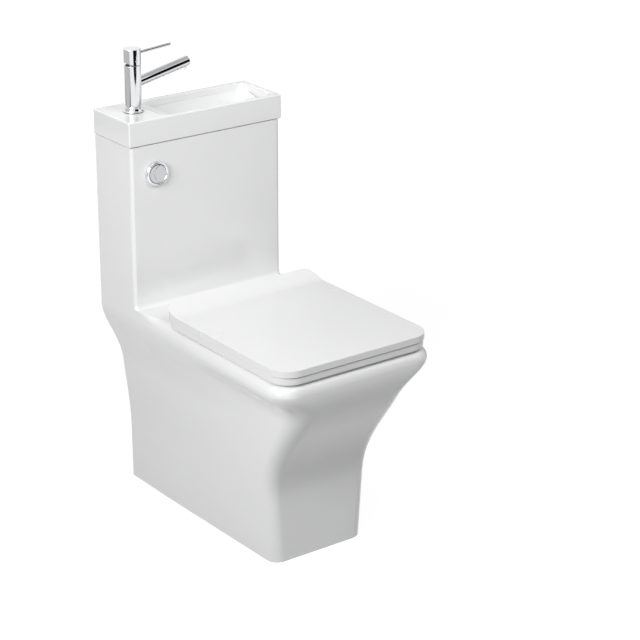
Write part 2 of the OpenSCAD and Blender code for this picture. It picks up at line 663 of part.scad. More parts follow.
module tap_cartridge_nut() color(chrome) on_tap() translate([0, 0, tap_top_z - 8])
    tube(cartridge_r, stem_r + 2, 7);
// The stem turns; the cap tilts on its cross pin
stem_top_z = cap_z + 13;
tilt_z = cap_z + 9;
tilt_r = 2.5;
cap_room_r = cap_r - 3.2;
module tap_stem() color(plastic) {
    on_tap() translate([0, 0, tap_top_z - cartridge_low + 12.3])
        cylinder(r = stem_r, h = stem_top_z - tap_top_z + cartridge_low - 12.3);
    to_wall(tap_x, tap_d + cap_r - 1.5, tilt_z) cylinder(r = tilt_r, h = 2 * cap_r - 3);
}
cap_tilt = 22;         // the most that the cap tips back
// Lowest point of the cap at x, measured from the pin, that stays above the column when the cap is tipped
function relief_z(x) = -(tilt_z - tap_top_z - face_c + x * sin(cap_tilt)) / cos(cap_tilt);
module tap_cap() color(chrome) difference() {
    on_tap() rotate_extrude() polygon([[0, cap_z], [cap_r - 0.3, cap_z], [cap_r, cap_z + 0.3],
        [cap_r, cap_z + cap_h - 1], [cap_r - 1, cap_z + cap_h], [0, cap_z + cap_h + 0.4]]);
    on_tap() translate([0, 0, cap_z - over]) cylinder(r = cap_room_r, h = cap_h - 12 + over);
    to_wall(tap_x, tap_d + cap_r + over, tilt_z) cylinder(r = tilt_r + run_c, h = 2 * cap_r + 2 * over);
    // the back is cut away below the pin, so that it clears the column as it tips
    on_tap() translate([0, 0, tilt_z]) rotate([90, 0, 0]) linear_extrude(2 * (cap_r + over), center = true)
        polygon([[0, relief_z(0)], [-cap_r - over, relief_z(-cap_r - over)], [-cap_r - over, -cap_h],
            [0, -cap_h]]);
    lever_line() translate([0, 0, cap_room_r - 2]) cylinder(r = lever_r, h = cap_r);
    to_right(tap_x - cap_r - over, tap_d, lever_z) cylinder(r = 2, h = cap_r - cap_room_r + 2 * over + 1);
}
module lever_line() on_tap() translate([0, 0, lever_z]) rotate([0, 90 - lever_up, 0]) children();
module tap_lever() color(chrome) lever_line() translate([0, 0, cap_room_r])
    rotate_extrude() polygon([[0, 0], [lever_r, 0], [lever_r, lever_reach - cap_room_r - 0.8],
        [lever_r - 0.8, lever_reach - cap_room_r], [0, lever_reach - cap_room_r]]);
module tap_grub_screw() color(rubber) to_right(tap_x - cap_r + 0.4, tap_d, lever_z) cylinder(r = 2, h = 2.4);

horseshoe_t = 5;
stud_r = 3;
stud_back = 11;        // distance of the stud from the tap's axis, towards the wall
stud_tail = 22;        // length of the stud below the basin's ledge
stud_nut_h = 6;
module on_stud(z) place(tap_x, tap_d - stud_back, z) children();
module tap_stud() color(chrome) on_stud(ledge_z - stud_tail)
    cylinder(r = stud_r, h = basin_rim + stud_tail + 12);
module tap_horseshoe() color(rubber) difference() {
    place(tap_x, tap_d, ledge_z - horseshoe_t) cylinder(r = 22, h = horseshoe_t);
    bar(tap_x - 14, tap_x + 14, tap_d - 6.5, tap_d + 30, ledge_z - horseshoe_t - over, ledge_z + over);
    on_stud(ledge_z - horseshoe_t - over) cylinder(r = stud_r + fit_c, h = horseshoe_t + 2 * over);
}
module tap_stud_nut() color(chrome) on_stud(ledge_z - horseshoe_t - stud_nut_h)
    hex_nut(6, stud_r + run_c, stud_nut_h);

tail_r = 5;
tail_bend = 20;
tail_end_d = 16;
module tail(x, out_z, tint) color(tint) {
    place(x, tap_d, out_z + tail_bend) cylinder(r = tail_r, h = tap_base_z + 12 - out_z - tail_bend);
    side_plane(x) translate([tap_d - tail_bend, out_z + tail_bend]) elbow(tail_bend, tail_r, 270, 90);
    to_wall(x, tap_d - tail_bend, out_z) cylinder(r = tail_r, h = tap_d - tail_bend - tail_end_d + 0.01);
    difference() {
        to_wall(x, tail_end_d, out_z) cylinder(r = tail_hole_r - 0.7, h = tail_end_d - 0.5);
        to_wall(x, 13, out_z) cylinder(r = 9.5, h = 14);
    }
}
module hot_tail() tail(hot_x, hot_out_z, "indianred");
module cold_tail() tail(cold_x, cold_out_z, "steelblue");

// ---- flush button

module on_button(d) to_room(button_at, d, button_z) children();
bezel_in_r = button_r + 0.4;
barrel_low_d = tower_d - 37;
bellows_front_d = barrel_low_d - 8;
bellows_back_d = barrel_low_d - 16;
stem_end_d = bellows_front_d + button_travel + face_c;
module button_bezel() color(chrome) on_button(tower_d) rotate_extrude() polygon(concat(
    [[bezel_in_r, 0.2], [bezel_r, 0.2]],
    [for (i = [0:8]) let (a = 22.5 * i)
        [lerp(bezel_in_r, bezel_r, 0.5 + 0.5 * cos(a)), bezel_h * (0.45 + 0.55 * sin(a))]]));
module button_barrel() color(plastic) on_button(barrel_low_d) difference() {
    cylinder(r = barrel_r, h = tower_d - barrel_low_d);
    translate([0, 0, 6]) cylinder(r = bezel_in_r - 0.01, h = tower_d - barrel_low_d);
    translate([half_stem_x, 0, -over]) cylinder(r = button_stem_r + run_c, h = 12);
    translate([full_stem_x, 0, -over]) cylinder(r = button_stem_r + run_c, h = 12);
}
gasket_t = 3;
button_nut_h = 6;
module button_gasket() color(rubber) on_button(tank_front_d - gasket_t)
    tube(barrel_r + 7.8, barrel_r + fit_c, gasket_t);
module button_nut() color(plastic) on_button(tank_front_d - gasket_t - button_nut_h)
    tube(barrel_r + 5.8, barrel_r + fit_c, button_nut_h);
button_stem_r = 2.5;
half_stem_x = 7;
full_stem_x = -13;
lens_shift = 10;
button_face_h = bezel_h - 1.5;
button_skirt = 9;
module button_disc_2d(gap) {
    intersection() {
        circle(button_r);
        translate([lens_shift, 0]) circle(button_r - gap);
    }
}
dome_r = 90;
module button_dome(flat) intersection() {
    translate([0, 0, button_face_h - button_skirt]) linear_extrude(button_skirt + 5) children();
    translate([0, 0, button_face_h - dome_r + flat]) sphere(r = dome_r);
}
module button_stem(x) to_room(button_at + x, stem_end_d, button_z)
    cylinder(r = button_stem_r, h = tower_d - stem_end_d + button_face_h - button_skirt + 1);
module half_flush_button() color(chrome) {
    on_button(tower_d) button_dome(1.2) button_disc_2d(0.35);
    button_stem(half_stem_x);
}
module full_flush_button() color(chrome) {
    on_button(tower_d) button_dome(0.8) difference() {
        circle(button_r);
        translate([lens_shift, 0]) circle(button_r);
    }
    button_stem(full_stem_x);
}
module bellows_case() color(plastic) {
    on_button(bellows_back_d) difference() {
        cylinder(r = barrel_r, h = barrel_low_d - bellows_back_d);
        translate([0, 0, bellows_front_d - bellows_back_d]) cylinder(r = button_r - 1, h = 30);
        for (x = tube_x) translate([x, 0, -over]) cylinder(r = air_r, h = 4 + over);
    }
}
air_r = 2;
tube_x = [-7, 7];
air_pitch = 9;         // distance of each tube from the flush valve's axis where they end
cage_h = 96;           // height of the flush valve's cage above the cistern floor
lift_x = valve_x + 24;  // the lifting cylinder stands to the right of the overflow tube
cage_top_z = tank_floor_z + cage_h;
lift_z = cage_top_z + 4;
tube_back = 23;        // the air tubes drop this far in front of the flush valve's axis
// Corner cutting turns the few points of a route into a smooth line
function cut_corners(p, n) = n == 0 ? p : cut_corners(concat([p[0]],
    [for (i = [0:len(p) - 2]) each [lerp(p[i], p[i + 1], 0.25), lerp(p[i], p[i + 1], 0.75)]],
    [p[len(p) - 1]]), n - 1);
function unit(v) = v / norm(v);
function frame_step(side, t) = unit(side - t * (side * t));
function frames(p, i, side) = i >= len(p) ? [] :
    let (t = unit(p[min(i + 1, len(p) - 1)] - p[max(i - 1, 0)]), s = frame_step(side, t))
    concat([[p[i], s, cross(t, s)]], frames(p, i + 1, s));
module sweep(route, r, n = 8) loft([for (f = frames(route, 0, [1, 0, 0.02]))
    [for (k = [0:n - 1]) let (a = -360 * k / n) f[0] + r * (f[1] * cos(a) + f[2] * sin(a))]]);
function air_route(x, end_x, level) = [
    [x + button_at, wall_y - bellows_back_d - 3, button_z],
    [x + button_at, wall_y - bellows_back_d + 8, button_z],
    [x + button_at + 4, wall_y - valve_d + 4, button_z - 8],
    [x + button_at + 20, wall_y - valve_d + 2, level + 4],
    [x + button_at + 60, wall_y - valve_d, level],
    [end_x - 16, wall_y - valve_d - 14, level - 4],
    [end_x, wall_y - valve_d - tube_back, level - 26],
    [end_x, wall_y - valve_d - tube_back, lift_z + 20],
    [end_x, wall_y - valve_d - tube_back, lift_z + over + 0.5]];
module air_tubes() color(rubber) {
    sweep(cut_corners(air_route(tube_x[0], valve_x - air_pitch, button_z - 30), 1), air_r - 0.05);
    sweep(cut_corners(air_route(tube_x[1], valve_x + air_pitch, button_z - 23), 1), air_r - 0.05);
}

// ---- flush valve

foam_t = 3;
seat_z = tank_floor_z + foam_t + 7;
module on_valve(z) place(valve_x, valve_d, z) children();
base_flange_r = valve_hole_r + 8;
base_flange_t = 4;
base_bore_r = valve_hole_r - 6;
module valve_base() color(plastic) on_valve(0) difference() {
    union() {
        translate([0, 0, hollow_top_z + 1]) cylinder(r = valve_hole_r - 0.6, h = seat_z - hollow_top_z - 2);
        translate([0, 0, tank_floor_z + foam_t]) cylinder(r = base_flange_r, h = base_flange_t);
        translate([0, 0, tank_floor_z + foam_t])
            cylinder(r1 = valve_hole_r - 1, r2 = valve_hole_r - 2.5, h = seat_z - tank_floor_z - foam_t);
    }
    translate([0, 0, hollow_top_z - over]) cylinder(r = base_bore_r, h = seat_z - hollow_top_z + 2 * over);
}
module valve_washer() color(rubber) on_valve(tank_floor_z)
    tube(base_flange_r - 1, valve_hole_r - 0.5, foam_t);
cage_r = base_flange_r - 2;
cage_t = 4;
cage_foot_z = tank_floor_z + foam_t + base_flange_t;
cage_foot_t = 5;
module valve_cage() color("cadetblue") on_valve(0) {
    translate([0, 0, cage_foot_z]) tube(cage_r, valve_hole_r + 0.5, cage_foot_t);
    translate([0, 0, cage_top_z]) tube(cage_r, overflow_r + 0.4, cage_t);
    for (a = [45:90:315]) rotate([0, 0, a]) translate([cage_r - 3, 0, cage_foot_z + cage_foot_t - 0.01])
        cylinder(r = 2.6, h = cage_top_z - cage_foot_z - cage_foot_t + 0.02);
}
overflow_r = 14;
overflow_t = 2;
valve_seal_t = 3;
module overflow_tube() color(plastic) on_valve(seat_z + valve_seal_t + 0.3) {
    tube(overflow_r, overflow_r - overflow_t, overflow_h - 20);
    tube(overflow_r + 8, overflow_r - overflow_t, 2.5);
}
module valve_seal() color(rubber) on_valve(seat_z + 0.3)
    tube(valve_hole_r - 2, overflow_r - overflow_t, valve_seal_t);
arm_z = cage_top_z + 82;
piston_r = 6;
piston_h = 5;
piston_x = lift_x + 5;
arm_t = 5;
piston_z = lift_z + 20;
module lift_arm() color("cadetblue") {
    on_valve(arm_z) tube(overflow_r + 4, overflow_r, 8);
    on_valve(arm_z) difference() {
        translate([overflow_r + 2, -4, 0]) cube([piston_x - valve_x - overflow_r + 1, 8, arm_t]);
        cylinder(r = overflow_r + 1, h = 4 * arm_t, center = true);
    }
    place(piston_x, valve_d, piston_z) cylinder(r = 2.5, h = arm_z - piston_z + 1);
    place(piston_x, valve_d, piston_z) cylinder(r = piston_r, h = piston_h);
}
lift_h = 56;           // height of the lifting cylinder
lift_floor = 14;       // thickness of its foot
manifold_h = 8;        // height of the block that the air tubes plug into
module lift_cylinder() color(plastic) {
    manifold_d = valve_d + tube_back;
    difference() {
        place(piston_x, valve_d, lift_z) cylinder(r = piston_r + 3, h = lift_h);
        place(piston_x, valve_d, lift_z + lift_floor) cylinder(r = piston_r + face_c, h = lift_h);
    }
    difference() {
        bar(valve_x - air_pitch - 5, piston_x, manifold_d - 5, manifold_d + 5, lift_z, lift_z + manifold_h);
        for (x = [-air_pitch, air_pitch]) place(valve_x + x, manifold_d, lift_z + over)
            cylinder(r = air_r, h = manifold_h + over);
    }
    bar(lift_x, lift_x + 10, valve_d + 5, manifold_d, lift_z, lift_z + manifold_h);
}

// ---- inlet valve

// The inlet valve is drawn with its lever to the right, and stands with it to the left
module on_fill(z) place(-fill_x, valve_d, z) rotate([0, 0, 180]) children();
fill_head_z = tank_floor_z + fill_h - 30;
fill_head_r = 14;
fill_head_h = 16;
fill_bore_r = 5;
fill_bore_stop = 35;   // the bore ends this far below the head
fill_flange_r = 16;
fill_flange_t = 4;
fill_washer_t = 3;
fill_nut_h = 9;
inlet_len = 27.8;      // length of plain thread for the supply's nut
inlet_low_z = hollow_top_z - 38;
riser_r = 9;
pivot_x = 6;
pivot_z = fill_head_z + 26;
pivot_r = 1.5;
lug_x = pivot_x + 5;
lug_h = 16;
lug_t = 2;
lug_out = 5;           // distance of a lug's outer face from the valve's axis
rod_x = 30;
rod_r = 2;
float_travel = 20;
lever_turn = 1.8;      // degrees that the pilot lever turns for each millimetre of the float's travel
lever_drop = lever_turn * float_travel;
pilot_t = 4.4;
pilot_half_w = 4;
float_top_z = fill_head_z - 8;
module fill_body() color(plastic) on_fill(0) {
    difference() {
        union() {
            translate([0, 0, inlet_low_z]) cylinder(r = shank_r, h = inlet_len + over);
            translate([0, 0, inlet_low_z + inlet_len])
                cylinder(r = neck_r, h = tank_floor_z + fill_washer_t + over - inlet_low_z - inlet_len);
            translate([0, 0, tank_floor_z + fill_washer_t]) cylinder(r = fill_flange_r, h = fill_flange_t);
            translate([0, 0, tank_floor_z + fill_washer_t])
                cylinder(r = riser_r, h = fill_head_z - tank_floor_z);
            translate([0, 0, fill_head_z]) cylinder(r = fill_head_r, h = fill_head_h);
        }
        translate([0, 0, inlet_low_z - over])
            cylinder(r = fill_bore_r, h = fill_head_z - fill_bore_stop - inlet_low_z + over);
    }
    for (y = [-lug_out, lug_out - lug_t]) translate([0, y, fill_head_z + fill_head_h - over]) difference() {
        cube([lug_x, lug_t, lug_h]);
        translate([pivot_x, -over, pivot_z - fill_head_z - fill_head_h + over]) rotate([-90, 0, 0])
            cylinder(r = pivot_r, h = lug_t + 2 * over);
    }
}
module fill_washer() color(rubber) on_fill(tank_floor_z) tube(fill_flange_r, neck_r + fit_c, fill_washer_t);
module fill_backnut() color(plastic) on_fill(hollow_top_z - 0.2 - fill_nut_h)
    hex_nut(15, neck_r + run_c, fill_nut_h);
float_r = 22;
float_h = 46;
float_arm_half = 3;    // half width of the arm that carries the float's rod
float_arm_t = 4;
rod_rise = 12;         // length of the rod above the lever's pivot
rod_stop_drop = 7;     // the rod's collar, below the pivot
rod_stop_h = 3;
module fill_float() color("lightsteelblue") on_fill(0) {
    translate([0, 0, float_top_z - float_h]) tube(float_r, riser_r + 0.6, float_h);
    translate([float_r - 2, -float_arm_half, float_top_z - float_arm_t])
        cube([rod_x + float_arm_half - float_r + 2, 2 * float_arm_half, float_arm_t]);
    translate([rod_x, 0, float_top_z - float_arm_t])
        cylinder(r = rod_r, h = pivot_z + rod_rise - float_top_z + float_arm_t);
    translate([rod_x, 0, pivot_z - rod_stop_drop]) cylinder(r = 2 * rod_r, h = rod_stop_h);
}
// The slot holds the float's rod from level to the angle that the lever drops to
slot_near = rod_x - pivot_x - rod_r - 3;
slot_far = (rod_x - pivot_x + rod_r) / cos(lever_drop) + pilot_t / 2 * tan(lever_drop) + 1.5;
module pilot_lever() color("cadetblue") on_fill(0) translate([pivot_x, 0, pivot_z]) difference() {
    union() {
        translate([0, -pilot_half_w, -2.4]) cube([slot_far + 4, 2 * pilot_half_w, pilot_t]);
        rotate([90, 0, 0]) cylinder(r = 2 * pivot_r, h = 2 * (lug_out - lug_t) - 0.8, center = true);
        rotate([90, 0, 0]) cylinder(r = pivot_r - run_c, h = 2 * (lug_out + 1), center = true);
    }
    translate([slot_near, -rod_r - 0.5, -8]) cube([slot_far - slot_near, 2 * rod_r + 1, 16]);
    // narrow neck between the lugs
    for (y = [-pilot_half_w - 2.7, 2.7]) translate([-5, y, -8])
        cube([lug_x - pivot_x + 9, pilot_half_w, lug_h]);
}

// ---- seat, lid and their hinges

seat_low_z = deck_z + seat_gap;
seat_top_z = seat_low_z + seat_t;
lid_low_z = seat_top_z + lid_gap;
lid_top_z = lid_low_z + lid_t;
hinge_d = lid_back_d + hinge_in;
hinge_z = lid_low_z + hinge_rise;
lid_front_d = pan_len - lid_setback;
seat_front_d = lid_front_d - seat_inset;
seat_w = lid_w - 2 * seat_inset;
seat_back_d = lid_back_d + seat_inset + 2;
hinge_x = hinge_pitch / 2;
post_half = 7;
knuckle_r = 8;
knuckle_gap = 1;
knuckle_len = 19.5;
seat_knuckle_x = hinge_x + post_half + knuckle_gap;
lid_knuckle_x = hinge_x - post_half - knuckle_gap - knuckle_len;
notch_half = seat_knuckle_x + knuckle_len + 6;
notch_d = hinge_d + 18;
damper_r = 6.2;
damper_len = 12;
web_top_z = hinge_z - 2;    // top of the web that carries the seat's knuckle
module hinge_axis(x) to_right(x, hinge_d, hinge_z) children();
post_foot_r = 14;
post_foot_h = 3.5;
post_gap = 0.2;
bolt_r = 4;
bolt_gap = 0.05;       // radial gap round the bolt in its sleeve and nut
bolt_hold = 10;        // depth of the bolt's hole in the post, from the deck
bolt_tail = 13;        // what shows of the bolt below its nut
sleeve_drop = 14;      // length of the sleeve below the deck
sleeve_in = 11;        // and inside the deck's hole
sleeve_low_z = hollow_top_z - sleeve_drop;
hinge_nut_r = 9;
hinge_nut_h = 12.8;
hinge_nut_z = sleeve_low_z - 0.2 - hinge_nut_h;
bolt_low_z = hinge_nut_z - bolt_tail;

module hinge_posts() color(chrome) mirrored() difference() {
    union() {
        place(hinge_x, hinge_d, deck_z + post_gap) cylinder(r = post_foot_r, h = post_foot_h);
        bar(hinge_x - post_half, hinge_x + post_half, hinge_d - knuckle_r, hinge_d + knuckle_r,
            deck_z + post_foot_h - 0.5, hinge_z);
        hinge_axis(hinge_x - post_half) cylinder(r = knuckle_r, h = 2 * post_half);
    }
    hinge_axis(hinge_x - post_half - over) cylinder(r = pin_r + 0.02, h = 2 * post_half + 2 * over);
    place(hinge_x, hinge_d, deck_z - over) cylinder(r = bolt_r + 0.02, h = bolt_hold + over);
}
module hinge_pins() color(chrome) mirrored() hinge_axis(lid_knuckle_x + 1)
    cylinder(r = pin_r, h = seat_knuckle_x + knuckle_len - lid_knuckle_x - 2);
module hinge_bolts() color(chrome) mirrored() place(hinge_x, hinge_d, bolt_low_z)
    cylinder(r = bolt_r, h = deck_z + bolt_hold - 1.5 - bolt_low_z);
module hinge_sleeves() color(rubber) mirrored() place(hinge_x, hinge_d, sleeve_low_z) {
    tube(sleeve_r, bolt_r + bolt_gap, sleeve_drop + sleeve_in);
    tube(sleeve_r + 2, bolt_r + bolt_gap, sleeve_drop - face_c);
}
module hinge_nuts() color(plastic) mirrored() place(hinge_x, hinge_d, hinge_nut_z) difference() {
    cylinder(r1 = hinge_nut_r - 2, r2 = hinge_nut_r, h = hinge_nut_h);
    translate([0, 0, -over]) cylinder(r = bolt_r + bolt_gap, h = hinge_nut_h + 2 * over);
}

seat_edge = 6;
function seat_hole_ring(z) =
    let (u = clamp01(1 - min(seat_top_z - z, seat_edge) / seat_edge), e = round_in(seat_edge, u),
         hx = seat_hole_w / 2 + e, hd = seat_hole_len / 2 + e)
    round_rect(0, bowl_mouth_d, hx, hd, 62 + e, 8);
module seat_hole() loft(concat(
    [at_height(seat_hole_ring(seat_low_z - over), seat_low_z - over)],
    [for (a = [0, 30, 60, 90]) let (z = seat_top_z - seat_edge * (1 - sin(a)))
        at_height(seat_hole_ring(z), z)],
    [at_height(seat_hole_ring(seat_top_z + over), seat_top_z + over)]));
// Outline with large corners at the front and smaller ones at the back
module cover_plan(w, back_d, front_d, front_r, back_r) {
    hw = w / 2;
    mid_d = (back_d + front_d) / 2;
    plate_2d(-hw, hw, back_d, mid_d + back_r, back_r);
    plate_2d(-hw, hw, mid_d - front_r, front_d, front_r);
}
pad_places = [[seat_w / 2 - 33.5, bowl_mouth_d - 100], [seat_w / 2 - 69.5, seat_front_d - 33]];
pad_r = 7;
plug_r = 3;
seat_pad_t = seat_gap - 0.2;
module seat_ring() color(white) difference() {
    union() {
        difference() {
            translate([0, 0, seat_low_z]) linear_extrude(seat_t)
                cover_plan(seat_w, seat_back_d, seat_front_d, lid_r - seat_inset, lid_back_r - seat_inset);
            bar(-notch_half, notch_half, seat_back_d - over, notch_d, seat_low_z - over, seat_top_z + over);
        }
        mirrored() {
            hinge_axis(seat_knuckle_x) cylinder(r = knuckle_r, h = knuckle_len);
            bar(seat_knuckle_x, seat_knuckle_x + knuckle_len, hinge_d + 1, notch_d + 2,
                seat_low_z + 4, web_top_z);
        }
    }
    seat_hole();
    mirrored() {
        hinge_axis(seat_knuckle_x - over) cylinder(r = pin_r + run_c, h = knuckle_len + 2 * over);
        hinge_axis(seat_knuckle_x + knuckle_len - damper_len)
            cylinder(r = damper_r + 0.02, h = damper_len + over);
        for (p = pad_places) place(p[0], p[1], seat_low_z - over) cylinder(r = plug_r, h = 5 + over);
    }
}
module seat_dampers() color(rubber) mirrored() hinge_axis(seat_knuckle_x + knuckle_len - damper_len)
    tube(damper_r, pin_r + run_c, damper_len);
module seat_buffers() color(plastic) mirrored() for (p = pad_places) {
    place(p[0], p[1], seat_low_z - seat_pad_t) cylinder(r = pad_r, h = seat_pad_t);
    place(p[0], p[1], seat_low_z - 0.01) cylinder(r = plug_r - 0.02, h = 4.5);
}

curl_steps = 10;
// the lid's lower rear edge is bevelled, so that it swings over the seat
heel_rise = 3;
heel_run = 4;
curl_d = lid_back_d + curl_len;
function lid_top(d) = lid_top_z + curl_h * pow(clamp01((curl_d - d) / curl_len), 2);
module lid_profile() side_plane() linear_extrude(lid_w + 2 * over, center = true) polygon(concat(
    [[lid_back_d, lid_low_z + heel_rise], [lid_back_d + heel_run, lid_low_z], [lid_front_d, lid_low_z],
        [lid_front_d, lid_top_z]],
    [for (i = [0:curl_steps]) let (d = lerp(curl_d, lid_back_d, i / curl_steps)) [d, lid_top(d)]]));
recess_in = 28;
recess_deep = 3.5;
slot_top_z = hinge_z + 9.8;
lid_slot_x0 = hinge_x - post_half - knuckle_gap + 0.2;
lid_slot_x1 = seat_knuckle_x + knuckle_len + 1.5;
lid_pad_places = [[lid_w / 2 - 25.5, bowl_mouth_d - 70], [lid_w / 2 - 57.5, lid_front_d - 33]];
lid_pad_t = lid_gap - 0.2;
module lid() color(white) difference() {
    union() {
        difference() {
            intersection() {
                lid_profile();
                translate([0, 0, lid_low_z - over]) linear_extrude(lid_t + curl_h + 2 * over)
                    cover_plan(lid_w, lid_back_d, lid_front_d, lid_r, lid_back_r);
            }
            // shallow recess that lightens the lid
            plate(-lid_w / 2 + recess_in, lid_w / 2 - recess_in, curl_d + 10, lid_front_d - recess_in, 24,
                lid_low_z - over, lid_low_z + recess_deep);
            // room for the posts and the seat's knuckles, and for the ends of the pins
            mirrored() {
                hinge_axis(lid_slot_x0) cylinder(r = knuckle_r + 0.6, h = lid_slot_x1 - lid_slot_x0);
                bar(lid_slot_x0, lid_slot_x1, lid_back_d - over, hinge_d, lid_low_z - over, slot_top_z);
                bar(lid_slot_x0, lid_slot_x1, hinge_d - over, notch_d + 4, lid_low_z - over, web_top_z + 0.6);
                hinge_axis(lid_knuckle_x - 16) cylinder(r = knuckle_r, h = 16);
            }
        }
        mirrored() hinge_axis(lid_knuckle_x) cylinder(r = knuckle_r - 0.5, h = knuckle_len);
    }
    mirrored() {
        hinge_axis(lid_knuckle_x - over) cylinder(r = pin_r + run_c, h = knuckle_len + 2 * over);
        hinge_axis(lid_knuckle_x - over) cylinder(r = damper_r + 0.02, h = damper_len + over);
        for (p = lid_pad_places) place(p[0], p[1], lid_low_z - over) cylinder(r = plug_r, h = 5 + over);
    }
}
module lid_dampers() color(rubber) mirrored() hinge_axis(lid_knuckle_x)
    tube(damper_r, pin_r + run_c, damper_len);
module lid_buffers() color(plastic) mirrored() for (p = lid_pad_places) {
    place(p[0], p[1], lid_low_z - lid_pad_t) cylinder(r = 6, h = lid_pad_t);
    place(p[0], p[1], lid_low_z - 0.01) cylinder(r = plug_r - 0.02, h = 4.5);
}

china_body();
tower_walls();
tower_back();
basin();
basin_seal();
waste_body();
waste_washers();
waste_backnut();
waste_plug();
waste_elbow();
waste_elbow_nut();
waste_pipe();
waste_grommet();
tap_body();
tap_base_ring();
tap_aerator();
tap_cartridge();
tap_cartridge_nut();
tap_stem();
tap_cap();
tap_lever();
tap_grub_screw();
tap_stud();
tap_horseshoe();
tap_stud_nut();
hot_tail();
cold_tail();
button_bezel();
button_barrel();
button_gasket();
button_nut();
bellows_case();
air_tubes();
full_flush_button();
half_flush_button();
valve_base();
valve_washer();
valve_cage();
overflow_tube();
valve_seal();
lift_arm();
lift_cylinder();
fill_body();
fill_washer();
fill_backnut();
fill_float();
pilot_lever();
hinge_posts();
hinge_bolts();
hinge_sleeves();
hinge_nuts();
hinge_pins();
seat_ring();
seat_dampers();
seat_buffers();
lid();
lid_dampers();
lid_buffers();
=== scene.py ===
"""Toilet whose cistern tower carries a small hand basin: china, basin, tap, flush button, seat and lid.

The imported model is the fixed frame. Pieces made here are the glazed and plated skins that show. The fittings
inside the cistern and the foot stay as the frame has them, with a finish of their own. Lengths are in metres.
"""
import json
import math

import bmesh
import bpy
from bpy.props import FloatProperty, FloatVectorProperty, PointerProperty
from mathutils import Matrix, Vector


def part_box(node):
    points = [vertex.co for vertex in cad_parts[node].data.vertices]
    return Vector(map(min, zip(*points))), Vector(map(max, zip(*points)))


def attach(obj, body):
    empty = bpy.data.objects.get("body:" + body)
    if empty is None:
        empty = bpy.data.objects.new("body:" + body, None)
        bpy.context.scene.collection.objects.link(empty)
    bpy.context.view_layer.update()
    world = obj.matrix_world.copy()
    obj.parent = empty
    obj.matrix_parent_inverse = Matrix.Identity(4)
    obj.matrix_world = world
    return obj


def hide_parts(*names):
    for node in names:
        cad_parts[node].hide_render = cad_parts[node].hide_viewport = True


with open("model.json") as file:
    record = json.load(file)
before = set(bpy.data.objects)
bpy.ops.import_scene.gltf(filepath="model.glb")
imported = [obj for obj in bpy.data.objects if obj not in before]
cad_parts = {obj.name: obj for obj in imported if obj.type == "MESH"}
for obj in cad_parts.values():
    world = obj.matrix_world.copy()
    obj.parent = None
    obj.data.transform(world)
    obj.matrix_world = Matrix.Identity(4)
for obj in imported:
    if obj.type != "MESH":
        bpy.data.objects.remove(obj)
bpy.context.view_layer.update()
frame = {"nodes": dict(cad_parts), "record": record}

bl_info = {
    "name": "Toilet with basin on the cistern",
    "version": (1, 0, 0),
    "blender": (4, 5, 0),
    "location": "View3D > Sidebar > Toilet",
    "description": "Makes the china, basin, tap, flush button, seat and lid round the packed frame",
    "category": "Add Mesh",
}

# ---- places read from the frame

WALL_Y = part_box("china_body")[1].y
PAN_LENGTH = WALL_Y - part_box("china_body")[0].y
RIM_WIDTH = 2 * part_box("china_body")[1].x
TOWER_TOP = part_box("tower_walls")[1].z
BASIN_LOW, BASIN_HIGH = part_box("basin")
SEAT_LOW, SEAT_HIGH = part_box("seat_ring")
LID_LOW, LID_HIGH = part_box("lid")
TOWER_DEPTH = 0.129
OVER = 0.002                     # how far a cutting tool runs past the face that it opens
FINE = 128                       # faces round the plated circles that are seen from close by


def spot(x, distance, z):
    """A point x to the right of the centre line, a distance out from the wall, and z above the floor."""
    return Vector((x, WALL_Y - distance, z))


TO_WALL = Vector((0, 1, 0))
TO_ROOM = Vector((0, -1, 0))
UP = Vector((0, 0, 1))
RIGHT = Vector((1, 0, 0))


def length(name, default, text):
    return FloatProperty(name=name, description=text, default=default, min=0.0, unit="LENGTH",
                         subtype="DISTANCE")


def colour(name, default, text):
    return FloatVectorProperty(name=name, description=text, default=default, size=3, min=0, max=1,
                               subtype="COLOR")


def power(name, default, text):
    return FloatProperty(name=name, description=text, default=default, subtype="POWER")


class ChinaSizes(bpy.types.PropertyGroup):
    """Sizes of the pan and the tower"""
    rim_width: length("Rim width", RIM_WIDTH, "Width of the pan across its rim")
    reach: length("Reach", PAN_LENGTH, "Distance from the wall to the front of the rim")
    deck: length("Deck height", 0.426, "Height of the rim deck above the floor")
    shoulder: length("Shoulder", 0.022, "Radius of the soft shoulder round the rim")
    rim_corner: length("Rim corner", 0.045, "Corner radius of the rim, seen from above")
    foot_length: length("Foot length", 0.501, "Length of the foot from the wall")
    foot_back: length("Foot width at the wall", 0.228, "Width of the foot at the wall")
    foot_front: length("Foot width at the front", 0.216, "Width of the foot at the front")
    foot_corner: length("Foot corner", 0.026, "Corner radius of the foot, seen from above")
    front_flare: length("Front flare", 0.134, "Height where the front face starts to lean out")
    side_flare: length("Side flare", 0.325, "Height where the sides start to swell")
    wall: length("Wall", 0.012, "Thickness of the china")
    tower_width: length("Tower width", 0.350, "Width of the tower")
    tower_depth: length("Tower depth", TOWER_DEPTH, "Depth of the tower")
    tower_corner: length("Tower corner", 0.008, "Rounding of the tower's upright edges")
    cove: length("Cove", 0.010, "Radius where the tower meets the deck")


